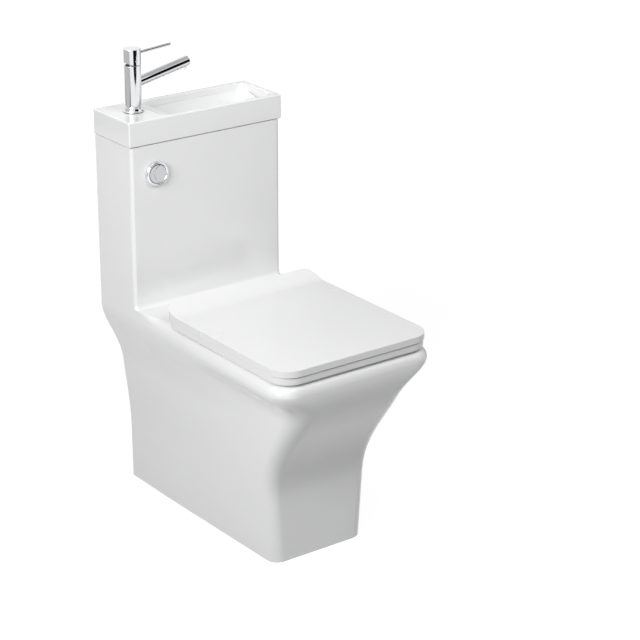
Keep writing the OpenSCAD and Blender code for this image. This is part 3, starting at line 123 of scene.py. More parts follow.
class BowlSizes(bpy.types.PropertyGroup):
    """Sizes of the bowl and the trapway"""
    length: length("Bowl length", 0.290, "Length of the bowl's mouth")
    width: length("Bowl width", 0.236, "Width of the bowl's mouth")
    front_gap: length("Front gap", 0.055, "Distance from the mouth to the front of the rim")
    sump_length: length("Sump length", 0.116, "Length of the sump")
    sump_width: length("Sump width", 0.100, "Width of the sump")
    shell: length("Shell", 0.010, "Thickness of the bowl's shell")
    lip: length("Lip", 0.006, "Rounding of the bowl's upper edge")
    trap_radius: length("Trapway radius", 0.038, "Inner radius of the trapway")
    trap_wall: length("Trapway wall", 0.008, "Wall of the trapway")
    trap_bend: length("Trapway bend", 0.050, "Radius of the trapway's bends")
    outlet_height: length("Outlet height", 0.180, "Height of the soil outlet's centre")
    outlet_radius: length("Outlet radius", 0.051, "Outer radius of the soil outlet")
    outlet_gap: length("Outlet gap", 0.025, "Distance of the outlet's end from the wall")


class BasinSizes(bpy.types.PropertyGroup):
    """Sizes of the hand basin"""
    edge: length("Edge", 0.003, "Rounding of the outer edges")
    rim: length("Rim", 0.011, "Width of the rim")
    depth: length("Depth", 0.072, "Depth of the bowl")
    ramp: length("Ramp", 0.150, "Length of the ramp that falls away from the tap")
    wall: length("Wall", 0.009, "Thickness of the basin's wall")
    lip: length("Lip", 0.004, "Rounding of the bowl's upper edge")
    floor_round: length("Floor rounding", 0.013, "Rounding between the bowl's floor and walls")


class TapSizes(bpy.types.PropertyGroup):
    """Sizes of the mixer tap"""
    radius: length("Column radius", 0.0168, "Radius of the column")
    foot_radius: length("Foot radius", 0.020, "Radius of the flared foot")
    column: length("Column height", 0.092, "Height of the column")
    cap: length("Cap height", 0.031, "Height of the cap")
    cap_radius: length("Cap radius", 0.0175, "Radius of the cap")
    spout_radius: length("Spout radius", 0.0104, "Radius of the spout")
    spout_reach: length("Spout reach", 0.127, "Distance from the tap's axis to the spout's tip")
    spout_height: length("Spout height", 0.054, "Height of the spout's axis where it leaves the column")
    lever_radius: length("Lever radius", 0.0031, "Radius of the lever pin")
    lever_reach: length("Lever reach", 0.088, "Distance from the tap's axis to the lever's tip")


class SeatSizes(bpy.types.PropertyGroup):
    """Sizes of the seat and the lid"""
    front_corner: length("Front corner", 0.044, "Corner radius at the front of the lid")
    back_corner: length("Back corner", 0.024, "Corner radius at the back of the lid")
    inset: length("Inset", 0.002, "Distance that the seat stands back from the lid's edge")
    hole_length: length("Opening length", 0.262, "Length of the seat's opening")
    hole_width: length("Opening width", 0.214, "Width of the seat's opening")
    curl_length: length("Curl length", 0.050, "Length over which the lid's rear edge curls up")
    lid_thickness: length("Lid thickness", 0.013, "Thickness of the lid")
    soft_edge: length("Soft edge", 0.0016, "Rounding of the moulded edges")
    hinge_radius: length("Knuckle radius", 0.008, "Radius of the hinge knuckles")


class Finishes(bpy.types.PropertyGroup):
    """Colours of the finishes"""
    glaze: colour("Glaze", (0.85, 0.855, 0.85), "Colour of the glazed china")
    biscuit: colour("Biscuit", (0.66, 0.64, 0.60), "Colour of the unglazed china at the back and inside")
    seat: colour("Seat", (0.82, 0.82, 0.82), "Colour of the seat and the lid")
    plate: colour("Plate", (0.83, 0.84, 0.86), "Colour of the chrome plate")
    steel: colour("Steel", (0.55, 0.56, 0.58), "Colour of plain steel")
    rubber: colour("Rubber", (0.022, 0.022, 0.024), "Colour of the seals")
    moulding: colour("Moulding", (0.70, 0.71, 0.72), "Colour of the pale valve mouldings")
    blue_moulding: colour("Blue moulding", (0.10, 0.22, 0.30), "Colour of the moving valve mouldings")
    waste: colour("Waste", (0.76, 0.76, 0.75), "Colour of the waste fittings")
    hot_tail: colour("Hot tail", (0.60, 0.50, 0.47), "Colour of the hot tail's steel")
    cold_tail: colour("Cold tail", (0.47, 0.52, 0.60), "Colour of the cold tail's steel")
    floor: colour("Floor", (0.36, 0.36, 0.36), "Colour of the floor")


class StageSizes(bpy.types.PropertyGroup):
    """Camera and lamps"""
    azimuth: FloatProperty(name="Azimuth", description="Direction that the camera looks along, from +Y",
                           default=math.radians(-36.42), subtype="ANGLE")
    pitch: FloatProperty(name="Pitch", description="Angle that the camera looks down at",
                         default=math.radians(20.86), subtype="ANGLE")
    place: FloatVectorProperty(name="Place", description="Where the camera stands", size=3,
                               default=(-2.2321, -3.2140, 1.9675), subtype="TRANSLATION")
    lens: FloatProperty(name="Lens", description="Focal length in millimetres", default=121.5)
    shift: FloatProperty(name="Shift", description="Upright shift of the picture", default=-0.04)
    key_power: power("Key", 38.0, "Power of the softbox on the left")
    front_power: power("Front", 16.0, "Power of the softbox in front")
    top_power: power("Top", 7.0, "Power of the overhead softbox")
    sky: FloatProperty(name="Sky", description="Brightness of the even surrounding light", default=0.2)


# ---- curves and outlines, in pairs of (x, distance from the wall)


def lerp(a, b, share):
    return a + (b - a) * share


def clamp(share):
    return max(0.0, min(1.0, share))


def ease(z, low, high, power=1.0):
    share = clamp((z - low) / (high - low)) ** power
    return share * share * (3 - 2 * share)


def round_in(radius, share):
    """Inward step of a quarter-round edge, share along it from 0 to 1."""
    return radius * (1 - math.sqrt(max(0.0, 1 - clamp(share) ** 2)))


def arc(centre, radius, start, end, steps):
    angles = [math.radians(lerp(start, end, i / steps)) for i in range(steps + 1)]
    return [(centre[0] + radius * math.cos(a), centre[1] + radius * math.sin(a)) for a in angles]


def round_rect(x, d, half_x, half_d, radius, steps=12):
    """Rounded rectangle round (x, d)."""
    in_x, in_d = half_x - radius, half_d - radius
    return (arc((x + in_x, d - in_d), radius, -90, 0, steps)
            + arc((x + in_x, d + in_d), radius, 0, 90, steps)
            + arc((x - in_x, d + in_d), radius, 90, 180, steps)
            + arc((x - in_x, d - in_d), radius, 180, 270, steps))


def both_sides(half):
    """A whole ring from its right half, whose last point is on the centre line."""
    return half + [(-x, d) for x, d in reversed(half[:-1])]


def at_height(ring, z):
    return [spot(x, d, z) for x, d in ring]


def floor_steps(low, radius, steps=8):
    """Heights that climb a quarter-round out of a floor, short of its top."""
    return [low + radius * (1 - math.cos(math.radians(90 * i / steps))) for i in range(steps)]


def lip_steps(top, radius, steps=8):
    """Heights that climb a quarter-round up to an upper edge."""
    return [top - radius * (1 - math.sin(math.radians(90 * i / steps))) for i in range(1, steps + 1)]


def rounded_end(radius, height, edge, steps=4):
    """Profile points of the quarter-round between a turned side and its flat end."""
    angles = [math.radians(90 * i / steps) for i in range(steps + 1)]
    return [(radius - edge * (1 - math.cos(a)), height - edge * (1 - math.sin(a))) for a in angles]


# ---- mesh tools


def edge_between(start, end):
    return next(edge for edge in start.link_edges if edge.other_vert(start) is end)


def ring_edges(ring):
    """The edges of a closed ring of vertices."""
    return [edge_between(ring[i - 1], ring[i]) for i in range(len(ring))]


def raise_ring(bm, ring, points):
    """Extrudes a closed ring of vertices, and sets the new ring on the points."""
    made = bmesh.ops.extrude_edge_only(bm, edges=ring_edges(ring))["geom"]
    fresh = {item for item in made if isinstance(item, bmesh.types.BMVert)}
    above = [next(e.other_vert(v) for e in v.link_edges if e.other_vert(v) in fresh) for v in ring]
    for vertex, point in zip(above, points):
        vertex.co = point
    return above


def loft(rings):
    """A closed solid through rings of equal length."""
    bm = bmesh.new()
    ring = [bm.verts.new(point) for point in rings[0]]
    for i in range(len(ring)):
        bm.edges.new((ring[i - 1], ring[i]))
    ends = [ring_edges(ring)]
    for points in rings[1:]:
        ring = raise_ring(bm, ring, points)
    ends.append(ring_edges(ring))
    for edges in ends:
        bmesh.ops.edgeloop_fill(bm, edges=edges)
    return bm


def prism(outline, low, high):
    """A solid with upright sides between two heights."""
    return loft([at_height(outline, z) for z in (low, high)])


def rod(radius, start, end, steps=48):
    """A cylinder from start to end."""
    axis = end - start
    place = Matrix.Translation((start + end) / 2) @ axis.to_track_quat("Z", "Y").to_matrix().to_4x4()
    bm = bmesh.new()
    bmesh.ops.create_cone(bm, cap_ends=True, segments=steps, radius1=radius, radius2=radius,
                          depth=axis.length, matrix=place)
    return bm


def upright(radius, x, distance, low, high):
    """An upright cylinder between two heights."""
    return rod(radius, spot(x, distance, low), spot(x, distance, high))


def level(radius, x, z, near, far, steps=48):
    """A level cylinder between two distances out from the wall."""
    return rod(radius, spot(x, near, z), spot(x, far, z), steps)


def block(low, high):
    """A box between two corners."""
    bm = bmesh.new()
    place = Matrix.Translation((low + high) / 2) @ Matrix.Diagonal((*(high - low), 1))
    bmesh.ops.create_cube(bm, size=1.0, matrix=place)
    return bm


def lathe(profile, centre, axis=UP, steps=96):
    """A solid turned from a profile of (radius, height) pairs that starts and ends on the axis."""
    bm = bmesh.new()
    turn = axis.to_track_quat("Z", "Y").to_matrix()
    line = [bm.verts.new(centre + turn @ Vector((radius, 0, height))) for radius, height in profile]
    edges = [bm.edges.new(pair) for pair in zip(line, line[1:])]
    bmesh.ops.spin(bm, geom=line + edges, cent=centre, axis=turn @ UP, angle=2 * math.pi, steps=steps,
                   use_merge=True)
    return bm


BEND_STEPS = 16


def run_of_pipe(radius, start, heading, moves, steps=48):
    """A closed pipe that goes straight and bends. A move is a length, or (centre, axis, angle) of a bend."""
    bm = bmesh.new()
    place = Matrix.Translation(start) @ heading.to_track_quat("Z", "Y").to_matrix().to_4x4()
    bmesh.ops.create_circle(bm, cap_ends=False, segments=steps, radius=radius, matrix=place)
    edges, heading = list(bm.edges), heading.copy()
    bmesh.ops.edgeloop_fill(bm, edges=edges)
    for move in moves:
        if isinstance(move, float):
            made = bmesh.ops.extrude_edge_only(bm, edges=edges)["geom"]
            fresh = [item for item in made if isinstance(item, bmesh.types.BMVert)]
            bmesh.ops.translate(bm, verts=fresh, vec=heading * move)
        else:
            centre, axis, angle = move
            made = bmesh.ops.spin(bm, geom=edges, cent=centre, axis=axis, angle=math.radians(angle),
                                  steps=BEND_STEPS, use_duplicate=False)["geom_last"]
            heading.rotate(Matrix.Rotation(math.radians(angle), 3, axis))
        edges = [item for item in made if isinstance(item, bmesh.types.BMEdge) and item.is_boundary]
    bmesh.ops.edgeloop_fill(bm, edges=edges)
    return bm


MERGE, THIN = 1e-6, 1e-7         # distances under which two vertices are one, and an edge is none


def new_piece(name, bm, material):
    """A new object from a bmesh, with one material."""
    mesh = bpy.data.meshes.new(name)
    bm.to_mesh(mesh)
    bm.free()
    mesh.materials.append(material)
    piece = bpy.data.objects.new(name, mesh)
    bpy.context.collection.objects.link(piece)
    return piece


def solid(name, bm, material):
    """A new piece with merged vertices and outward faces."""
    bmesh.ops.remove_doubles(bm, verts=bm.verts, dist=MERGE)
    bmesh.ops.dissolve_degenerate(bm, dist=THIN, edges=bm.edges)
    bmesh.ops.recalc_face_normals(bm, faces=bm.faces)
    return new_piece(name, bm, material)


def settle(piece):
    """Applies a piece's modifiers to its mesh."""
    made = bpy.data.meshes.new_from_object(piece.evaluated_get(bpy.context.evaluated_depsgraph_get()))
    old = piece.data
    piece.modifiers.clear()
    piece.data = made
    made.name = piece.name
    bpy.data.meshes.remove(old)


def join(piece, tool, operation="UNION"):
    """Joins a tool solid to a piece, or cuts it from the piece, and deletes the tool."""
    step = piece.modifiers.new(operation.lower(), "BOOLEAN")
    step.solver = "MANIFOLD"
    step.operation = operation
    step.object = tool
    settle(piece)
    bpy.data.objects.remove(tool)
    if not piece.data.polygons:
        raise RuntimeError(f"{piece.name}: nothing is left after {operation.lower()}")


def add(piece, bm, material):
    join(piece, solid("tool", bm, material), "UNION")


def cut(piece, bm, material):
    join(piece, solid("tool", bm, material), "DIFFERENCE")


def keep(piece, bm, material):
    join(piece, solid("tool", bm, material), "INTERSECT")


def soften(piece, width, segments=3, angle=40):
    """Rounds the sharp edges of a piece."""
    step = piece.modifiers.new("soften", "BEVEL")
    step.width = width
    step.segments = segments
    step.limit_method = "ANGLE"
    step.angle_limit = math.radians(angle)
    step.use_clamp_overlap = True
    settle(piece)


def shade(piece, angle=32):
    """Smooth shading that large faces lead, with edges sharper than the angle left crisp."""
    piece.data.shade_smooth()
    piece.data.set_sharp_from_angle(angle=math.radians(angle))
    step = piece.modifiers.new("normals", "WEIGHTED_NORMAL")
    step.keep_sharp = True
    settle(piece)


def stand_for(piece, body, slot, *nodes):
    """The finished piece rides on its body and takes the place of its nodes."""
    shade(piece)
    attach(piece, body)
    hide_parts(*nodes)


# ---- finishes

SPREAD_FROM, SPREAD_TO = 0.3, 0.7      # the middle of a noise value, where it changes a socket
TINT_FROM, TINT_TO = 0.32, 0.68        # and where it changes a colour


def new_finish(name, base, roughness, metallic=0.0):
    """A material with a Principled shader; returns it with its node tree, shader and object coordinates."""
    material = bpy.data.materials.new(name)
    material.use_nodes = True
    tree = material.node_tree
    shader = tree.nodes["Principled BSDF"]
    shader.inputs["Base Color"].default_value = (*base, 1)
    shader.inputs["Roughness"].default_value = roughness
    shader.inputs["Metallic"].default_value = metallic
    place = tree.nodes.new("ShaderNodeTexCoord")
    return material, tree, shader, place.outputs["Object"]


def noise(tree, place, scale, detail=3.0, stretch=None):
    """Noise on object coordinates, stretched along an axis if asked."""
    if stretch:
        mapping = tree.nodes.new("ShaderNodeMapping")
        mapping.inputs["Scale"].default_value = stretch
        tree.links.new(place, mapping.inputs["Vector"])
        place = mapping.outputs["Vector"]
    node = tree.nodes.new("ShaderNodeTexNoise")
    node.inputs["Scale"].default_value = scale
    node.inputs["Detail"].default_value = detail
    tree.links.new(place, node.inputs["Vector"])
    return node.outputs["Fac"]


def map_range(tree, value, start, end, low, high):
    """A value that goes from low to high as another goes from start to end."""
    node = tree.nodes.new("ShaderNodeMapRange")
    for name, amount in (("From Min", start), ("From Max", end), ("To Min", low), ("To Max", high)):
        node.inputs[name].default_value = amount
    tree.links.new(value, node.inputs["Value"])
    return node.outputs["Result"]


def spread(tree, value, low, high, socket):
    """Drives a socket from low to high along the middle of a noise value."""
    tree.links.new(map_range(tree, value, SPREAD_FROM, SPREAD_TO, low, high), socket)


def tint(tree, value, low, high, shader):
    """Base colour from low to high along a noise value."""
    ramp = tree.nodes.new("ShaderNodeValToRGB")
    for stop, position, tone in zip(ramp.color_ramp.elements, (TINT_FROM, TINT_TO), (low, high)):
        stop.position = position
        stop.color = (*tone, 1)
    tree.links.new(value, ramp.inputs["Fac"])
    tree.links.new(ramp.outputs["Color"], shader.inputs["Base Color"])


def bumps(tree, shader, layers):
    """Stacks bump layers of (height value, strength, distance in metres)."""
    normal = None
    for height, strength, distance in layers:
        node = tree.nodes.new("ShaderNodeBump")
        node.inputs["Strength"].default_value = strength
        node.inputs["Distance"].default_value = distance
        tree.links.new(height, node.inputs["Height"])
        if normal:
            tree.links.new(normal, node.inputs["Normal"])
        normal = node.outputs["Normal"]
    tree.links.new(normal, shader.inputs["Normal"])


def shaded(base, factor):
    return tuple(c * factor for c in base)


def glaze_finish(base):
    """Vitreous glaze: deep gloss over slightly uneven, faintly mottled china."""
    material, tree, shader, place = new_finish("china_glaze", base, 0.1)
    tint(tree, noise(tree, place, 9.0, 5.0), shaded(base, 0.985), base, shader)
    spread(tree, noise(tree, place, 30.0), 0.10, 0.13, shader.inputs["Roughness"])
    shader.inputs["IOR"].default_value = 1.52
    shader.inputs["Coat Weight"].default_value = 0.35
    shader.inputs["Coat Roughness"].default_value = 0.03
    bumps(tree, shader, [(noise(tree, place, 7.0, 1.0), 0.3, 0.0008),
                         (noise(tree, place, 420.0, 2.0), 0.05, 0.00015)])
    return material


def biscuit_finish(base):
    """Fired clay without glaze, with grain and casting marks."""
    material, tree, shader, place = new_finish("china_biscuit", base, 0.8)
    tint(tree, noise(tree, place, 22.0, 8.0), shaded(base, 0.86), base, shader)
    spread(tree, noise(tree, place, 60.0), 0.7, 0.9, shader.inputs["Roughness"])
    bumps(tree, shader, [(noise(tree, place, 45.0, 4.0), 0.3, 0.0008),
                         (noise(tree, place, 900.0, 3.0), 0.35, 0.0003)])
    return material


def seat_finish(base):
    """Thermoset plastic: hard satin gloss with the faint texture of its mould."""
    material, tree, shader, place = new_finish("seat_thermoset", base, 0.24)
    tint(tree, noise(tree, place, 5.0, 3.0), shaded(base, 0.996), base, shader)
    spread(tree, noise(tree, place, 3.0), 0.265, 0.28, shader.inputs["Roughness"])
    bumps(tree, shader, [(noise(tree, place, 4.0, 1.0), 0.05, 0.0003),
                         (noise(tree, place, 1600.0, 2.0), 0.05, 0.00008)])
    return material


def plate_finish(base):
    """Chrome plate: polished, with soft finger smears."""
    material, tree, shader, place = new_finish("chrome_plate", base, 0.05, metallic=1.0)
    tint(tree, noise(tree, place, 55.0, 2.0), shaded(base, 0.97), base, shader)
    spread(tree, noise(tree, place, 90.0, 5.0), 0.03, 0.06, shader.inputs["Roughness"])
    bumps(tree, shader, [(noise(tree, place, 120.0, 1.0), 0.02, 0.0001)])
    return material


def steel_finish(name, base):
    """Drawn steel with fine lines along its length."""
    material, tree, shader, place = new_finish(name, base, 0.34, metallic=1.0)
    lines = noise(tree, place, 260.0, 3.0, stretch=(1, 1, 0.08))
    tint(tree, lines, shaded(base, 0.8), base, shader)
    spread(tree, lines, 0.26, 0.42, shader.inputs["Roughness"])
    bumps(tree, shader, [(lines, 0.15, 0.0002)])
    return material


def moulding_finish(name, base):
    """Injection-moulded plastic with a spark-eroded grain."""
    material, tree, shader, place = new_finish(name, base, 0.45)
    tint(tree, noise(tree, place, 30.0, 2.0), shaded(base, 0.92), base, shader)
    spread(tree, noise(tree, place, 80.0), 0.38, 0.52, shader.inputs["Roughness"])
    bumps(tree, shader, [(noise(tree, place, 1300.0, 3.0), 0.2, 0.00015)])
    return material


def rubber_finish(base):
    """Black rubber with a light bloom."""
    material, tree, shader, place = new_finish("seal_rubber", base, 0.62)
    tint(tree, noise(tree, place, 70.0, 4.0), base, shaded(base, 1.9), shader)
    spread(tree, noise(tree, place, 50.0), 0.5, 0.74, shader.inputs["Roughness"])
    bumps(tree, shader, [(noise(tree, place, 800.0, 2.0), 0.2, 0.0002)])
    return material


FINISHES = {}


def make_finishes(colours):
    """Makes every finish once, keyed by the record's material slots."""
    FINISHES["white_china"] = glaze_finish(colours.glaze)
    FINISHES["biscuit"] = biscuit_finish(colours.biscuit)
    FINISHES["seat_plastic"] = seat_finish(colours.seat)
    FINISHES["chrome"] = plate_finish(colours.plate)
    FINISHES["rubber"] = rubber_finish(colours.rubber)
    FINISHES["valve_plastic"] = moulding_finish("pale_moulding", colours.moulding)
    FINISHES["valve_blue"] = moulding_finish("blue_moulding", colours.blue_moulding)
    FINISHES["waste_plastic"] = moulding_finish("waste_moulding", colours.waste)
    FINISHES["steel"] = steel_finish("plain_steel", colours.steel)
    FINISHES["red_hose"] = steel_finish("hot_tail_steel", colours.hot_tail)
    FINISHES["blue_hose"] = steel_finish("cold_tail_steel", colours.cold_tail)


# ---- china

REAR_STEPS = 3                   # ring points from the wall to where the shoulder starts
SIDE_STEPS = 30
SIDE_BIAS = 1.4                  # crowds the side points towards the tower, where the shoulder grows
CORNER_STEPS = 16
FRONT_STEPS = 8
TOWER_ARC_STEPS = 8
TOWER_ROOT, TOWER_ROOT_IN = 0.008, 0.002    # how far the tower reaches down into the pan, and draws in there
SIDE_LEAN = 0.029                # growth of the front half width that comes before the swell
BACK_LEAN = 0.003
KNEE_SHARE = 0.28                # share of the rear swell that its first, gentle curve makes
KNEE_LOW, KNEE_HIGH = 0.120, 0.330
REAR_FLARE = 0.270
SHOULDER_BLEND = 0.080
REAR_POWER, SIDE_POWER, FRONT_POWER = 1.1, 1.5, 1.1      # how late each of the three flares swells
LEAST_CORNER = 0.006
FOOT_ROUND = 0.002


def flare_top(c):
    return c.deck - c.shoulder


def back_half(c, z):
    grow = (c.tower_width - c.foot_back) / 2 - BACK_LEAN
    knee = KNEE_SHARE * ease(z, KNEE_LOW, KNEE_HIGH)
    swell = (1 - KNEE_SHARE) * ease(z, REAR_FLARE, flare_top(c), REAR_POWER)
    return c.foot_back / 2 + BACK_LEAN * min(z / flare_top(c), 1) + grow * (knee + swell)


def front_half(c, z):
    top = flare_top(c)
    swell = (c.rim_width - c.foot_front) / 2 - SIDE_LEAN
    return c.foot_front / 2 + SIDE_LEAN * min(z / top, 1) + swell * ease(z, c.side_flare, top, SIDE_POWER)


def pan_half(c, z, inset=0.0, start=0.0):
    """Right half of the pan's outline at height z, from the wall to the centre line."""
    top = flare_top(c)
    drop = 0.0 if inset else round_in(c.shoulder, (z - top) / c.shoulder)
    reach = c.foot_length + (c.reach - c.foot_length) * ease(z, c.front_flare, top, FRONT_POWER) - inset
    radius = max(lerp(c.foot_corner, c.rim_corner, ease(z, c.front_flare, top)) - inset, LEAST_CORNER)
    back, front = back_half(c, z) - inset, front_half(c, z) - inset
    near, far = c.tower_depth + c.cove, reach - radius
    side = [lerp(near, far, (i / SIDE_STEPS) ** SIDE_BIAS) for i in range(1, SIDE_STEPS)]
    return ([(back, lerp(start, near, i / REAR_STEPS)) for i in range(REAR_STEPS + 1)]
            + [(lerp(back, front, (d - near) / (far - near)) - drop * ease(d, near, near + SHOULDER_BLEND), d)
               for d in side]
            + arc((front - radius, far), radius - drop, 0, 90, CORNER_STEPS)
            + [((front - radius) * (1 - i / FRONT_STEPS), reach - drop) for i in range(1, FRONT_STEPS + 1)])


def tower_half(c, reach=0.0, inset=0.0):
    """Right half of the tower's outline, moved forward by the cove's reach and drawn in by inset."""
    half, near, radius = c.tower_width / 2 - inset, c.tower_depth - c.tower_corner, c.tower_corner
    turn = [math.radians(90 * i / TOWER_ARC_STEPS) for i in range(1, TOWER_ARC_STEPS + 1)]
    front = [(half - radius) * (1 - i / FRONT_STEPS) for i in range(1, FRONT_STEPS + 1)]
    return ([(half, near * i / REAR_STEPS) for i in range(REAR_STEPS + 1)]
            + [(half - radius + radius * math.cos(a), near + (radius + reach) * math.sin(a)) for a in turn]
            + [(x, c.tower_depth + reach) for x in front])


PAN_RINGS = 52
SHOULDER_RINGS = 14
COVE_RINGS = 8
TOWER_RINGS = 6
HOLLOW_RINGS = 30


def pan_form(c):
    top = flare_top(c)
    rings = [at_height(both_sides(pan_half(c, 0, 1e-6 + FOOT_ROUND)), 0)]
    rings += [at_height(both_sides(pan_half(c, z)), z)
              for z in [FOOT_ROUND] + [top * i / PAN_RINGS for i in range(1, PAN_RINGS)]]
    for i in range(SHOULDER_RINGS + 1):
        z = top + c.shoulder * math.sin(math.pi / 2 * i / SHOULDER_RINGS)
        rings.append(at_height(both_sides(pan_half(c, z)), z))
    return loft(rings)


def tower_form(c):
    rings = [at_height(both_sides(tower_half(c, c.cove, TOWER_ROOT_IN)), c.deck - TOWER_ROOT)]
    for i in range(COVE_RINGS + 1):
        a = math.pi / 2 * i / COVE_RINGS
        rings.append(at_height(both_sides(tower_half(c, c.cove * (1 - math.sin(a)))),
                               c.deck + c.cove * (1 - math.cos(a))))
    low = c.deck + c.cove
    rings += [at_height(both_sides(tower_half(c)), lerp(low, TOWER_TOP, i / TOWER_RINGS))
              for i in range(1, TOWER_RINGS + 1)]
    return loft(rings)


def foot_hollow(c):
    top = c.deck - c.wall
    heights = [-OVER] + [top * i / HOLLOW_RINGS for i in range(1, HOLLOW_RINGS + 1)]
    return loft([at_height(both_sides(pan_half(c, max(z, 0), c.wall, c.wall)), z) for z in heights])


BOWL_FLOOR_ROUND = 0.030
BOWL_CORNER_TOP, BOWL_CORNER_LOW = 0.078, 0.060
BOWL_RINGS = 26
BOWL_POWER = 1.15                # how late the bowl draws in towards its sump
SLIVER = 0.0005                  # taken off a corner's radius, so that a flat stays between two corners
SUMP_SET = 0.002                 # how far the sump stands forward of the mouth's back
DIP_DROP = 0.005                 # the trapway's dip below the outlet's centre
WEIR_RISE = 0.082                # rise of the trapway's upper bend over the outlet's centre


class BowlPlaces:
    """Places of the bowl, the sump and the trapway, worked out from their sizes."""

    def __init__(self, c, b):
        self.mouth = c.reach - b.front_gap - b.length / 2
        self.mouth_back = self.mouth - b.length / 2
        self.sump = self.mouth - b.length / 2 + b.sump_length / 2 + SUMP_SET
        self.dip = b.outlet_height - DIP_DROP
        self.low = self.dip - b.trap_radius
        self.up_leg = self.sump - b.sump_length / 2 - b.trap_bend
        self.down_leg = self.up_leg - 2 * b.trap_bend
        self.top_bend = b.outlet_height + WEIR_RISE


def bowl_ring(c, b, at, z, grow):
    """The bowl's outline at height z, larger by grow: it narrows from the mouth to the sump."""
    share = clamp((c.deck - z) / (c.deck - at.low))
    narrow = ease(share, 0, 1, BOWL_POWER)
    low = round_in(BOWL_FLOOR_ROUND, 1 - (z - at.low + grow) / BOWL_FLOOR_ROUND)
    lip = 0.0 if grow else round_in(b.lip, 1 - (c.deck - z) / b.lip)
    half_d = lerp(b.length, b.sump_length, narrow) / 2 + grow - low + lip
    half_x = lerp(b.width, b.sump_width, narrow) / 2 + grow - low + lip
    corner = lerp(BOWL_CORNER_TOP, BOWL_CORNER_LOW, share) + grow - low
    radius = min(half_x, half_d, corner) - SLIVER
    return at_height(round_rect(0, lerp(at.mouth, at.sump, narrow), half_x, half_d, radius, steps=14), z)


def bowl_form(c, b, at, grow, top):
    floor = floor_steps(at.low - grow, BOWL_FLOOR_ROUND)
    wall_low = at.low - grow + BOWL_FLOOR_ROUND
    wall = [lerp(wall_low, c.deck - b.lip, i / BOWL_RINGS) for i in range(BOWL_RINGS + 1)]
    lip = [] if grow else lip_steps(c.deck, b.lip)
    if grow:
        wall = [z for z in wall if z < top]
    return loft([bowl_ring(c, b, at, z, grow) for z in floor + wall + lip + [top]])


def trap_run(b, at, radius):
    """The trapway from the sump, over its weir and down to the outlet."""
    bend = b.trap_bend
    start = spot(0, at.sump, at.dip)
    moves = [
        at.sump - at.up_leg - bend,
        (spot(0, at.up_leg + bend, at.dip + bend), RIGHT, 90),
        at.top_bend - at.dip - bend,
        (spot(0, at.up_leg - bend, at.top_bend), RIGHT, -180),
        at.top_bend - b.outlet_height - bend,
        (spot(0, at.down_leg - bend, b.outlet_height + bend), RIGHT, 90),
        at.down_leg - bend - b.outlet_gap,
    ]
    return run_of_pipe(radius, start, TO_WALL, moves)


# Places end in X across, in D out from the wall, and in Z or OUT above the floor. Holes are radii.
FLUSH_DUCT = 0.022
DUCT_ROOF = 0.006                # from the deck's underside down to the duct
DUCT_SHORT, DUCT_PAST = 0.002, 0.012     # where its wall and its bore end, short of and past the mouth's back
VALVE_X, VALVE_D, VALVE_HOLE = 0.010, 0.065, 0.030
INLET_X, INLET_HOLE = -0.076, 0.0123
TANK_WALL, TANK_FLOOR, TANK_CORNER = 0.011, 0.016, 0.008
BUTTON_X, BUTTON_Z, BUTTON_HOLE = -0.118, 0.698, 0.0207
WASTE_X, WASTE_OUT, WASTE_HOLE = 0.109, 0.672, 0.020
TAIL_PLACES, TAIL_HOLE = ((-0.133, 0.700), (-0.117, 0.730)), 0.0132
HINGE_X, HINGE_D, HINGE_Z, HINGE_HOLE = 0.0775, 0.244, 0.452, 0.0071
SHELL_TOP = 0.003                # how far the bowl's shell stops below the deck
WINDOW_SIDE, WINDOW_DROP = 0.006, 0.130  # the opening behind the foot: in from its walls, below the deck
FLAT, HAIR = 0.99, 0.001         # least slope and most distance of a face that lies on the wall or the floor


def pan_hollow(c, b, at, duct_z):
    """The space in the foot, round the shells of the bowl, the trapway and the flush duct."""
    biscuit = FINISHES["biscuit"]
    outlet_start = at.down_leg - b.trap_bend
    hollow = solid("hollow", foot_hollow(c), biscuit)
    for part in (bowl_form(c, b, at, b.shell, c.deck - SHELL_TOP),
                 trap_run(b, at, b.trap_radius + b.trap_wall),
                 level(b.outlet_radius, 0, b.outlet_height, outlet_start, b.outlet_gap, steps=96),
                 level(FLUSH_DUCT + b.trap_wall, VALVE_X, duct_z, VALVE_D - FLUSH_DUCT - b.trap_wall,
                       at.mouth_back - DUCT_SHORT),
                 upright(VALVE_HOLE + b.trap_wall, VALVE_X, VALVE_D, duct_z, c.deck - c.wall + OVER)):
        cut(hollow, part, biscuit)
    return hollow


def bare_back_and_base(china):
    """Takes the glaze off the faces that meet the wall and the floor."""
    bare = china.data.materials.find(FINISHES["biscuit"].name)
    for face in china.data.polygons:
        at_wall = face.normal.y > FLAT and face.center.y > WALL_Y - HAIR
        at_floor = face.normal.z < -FLAT and face.center.z < HAIR
        if at_wall or at_floor:
            face.material_index = bare


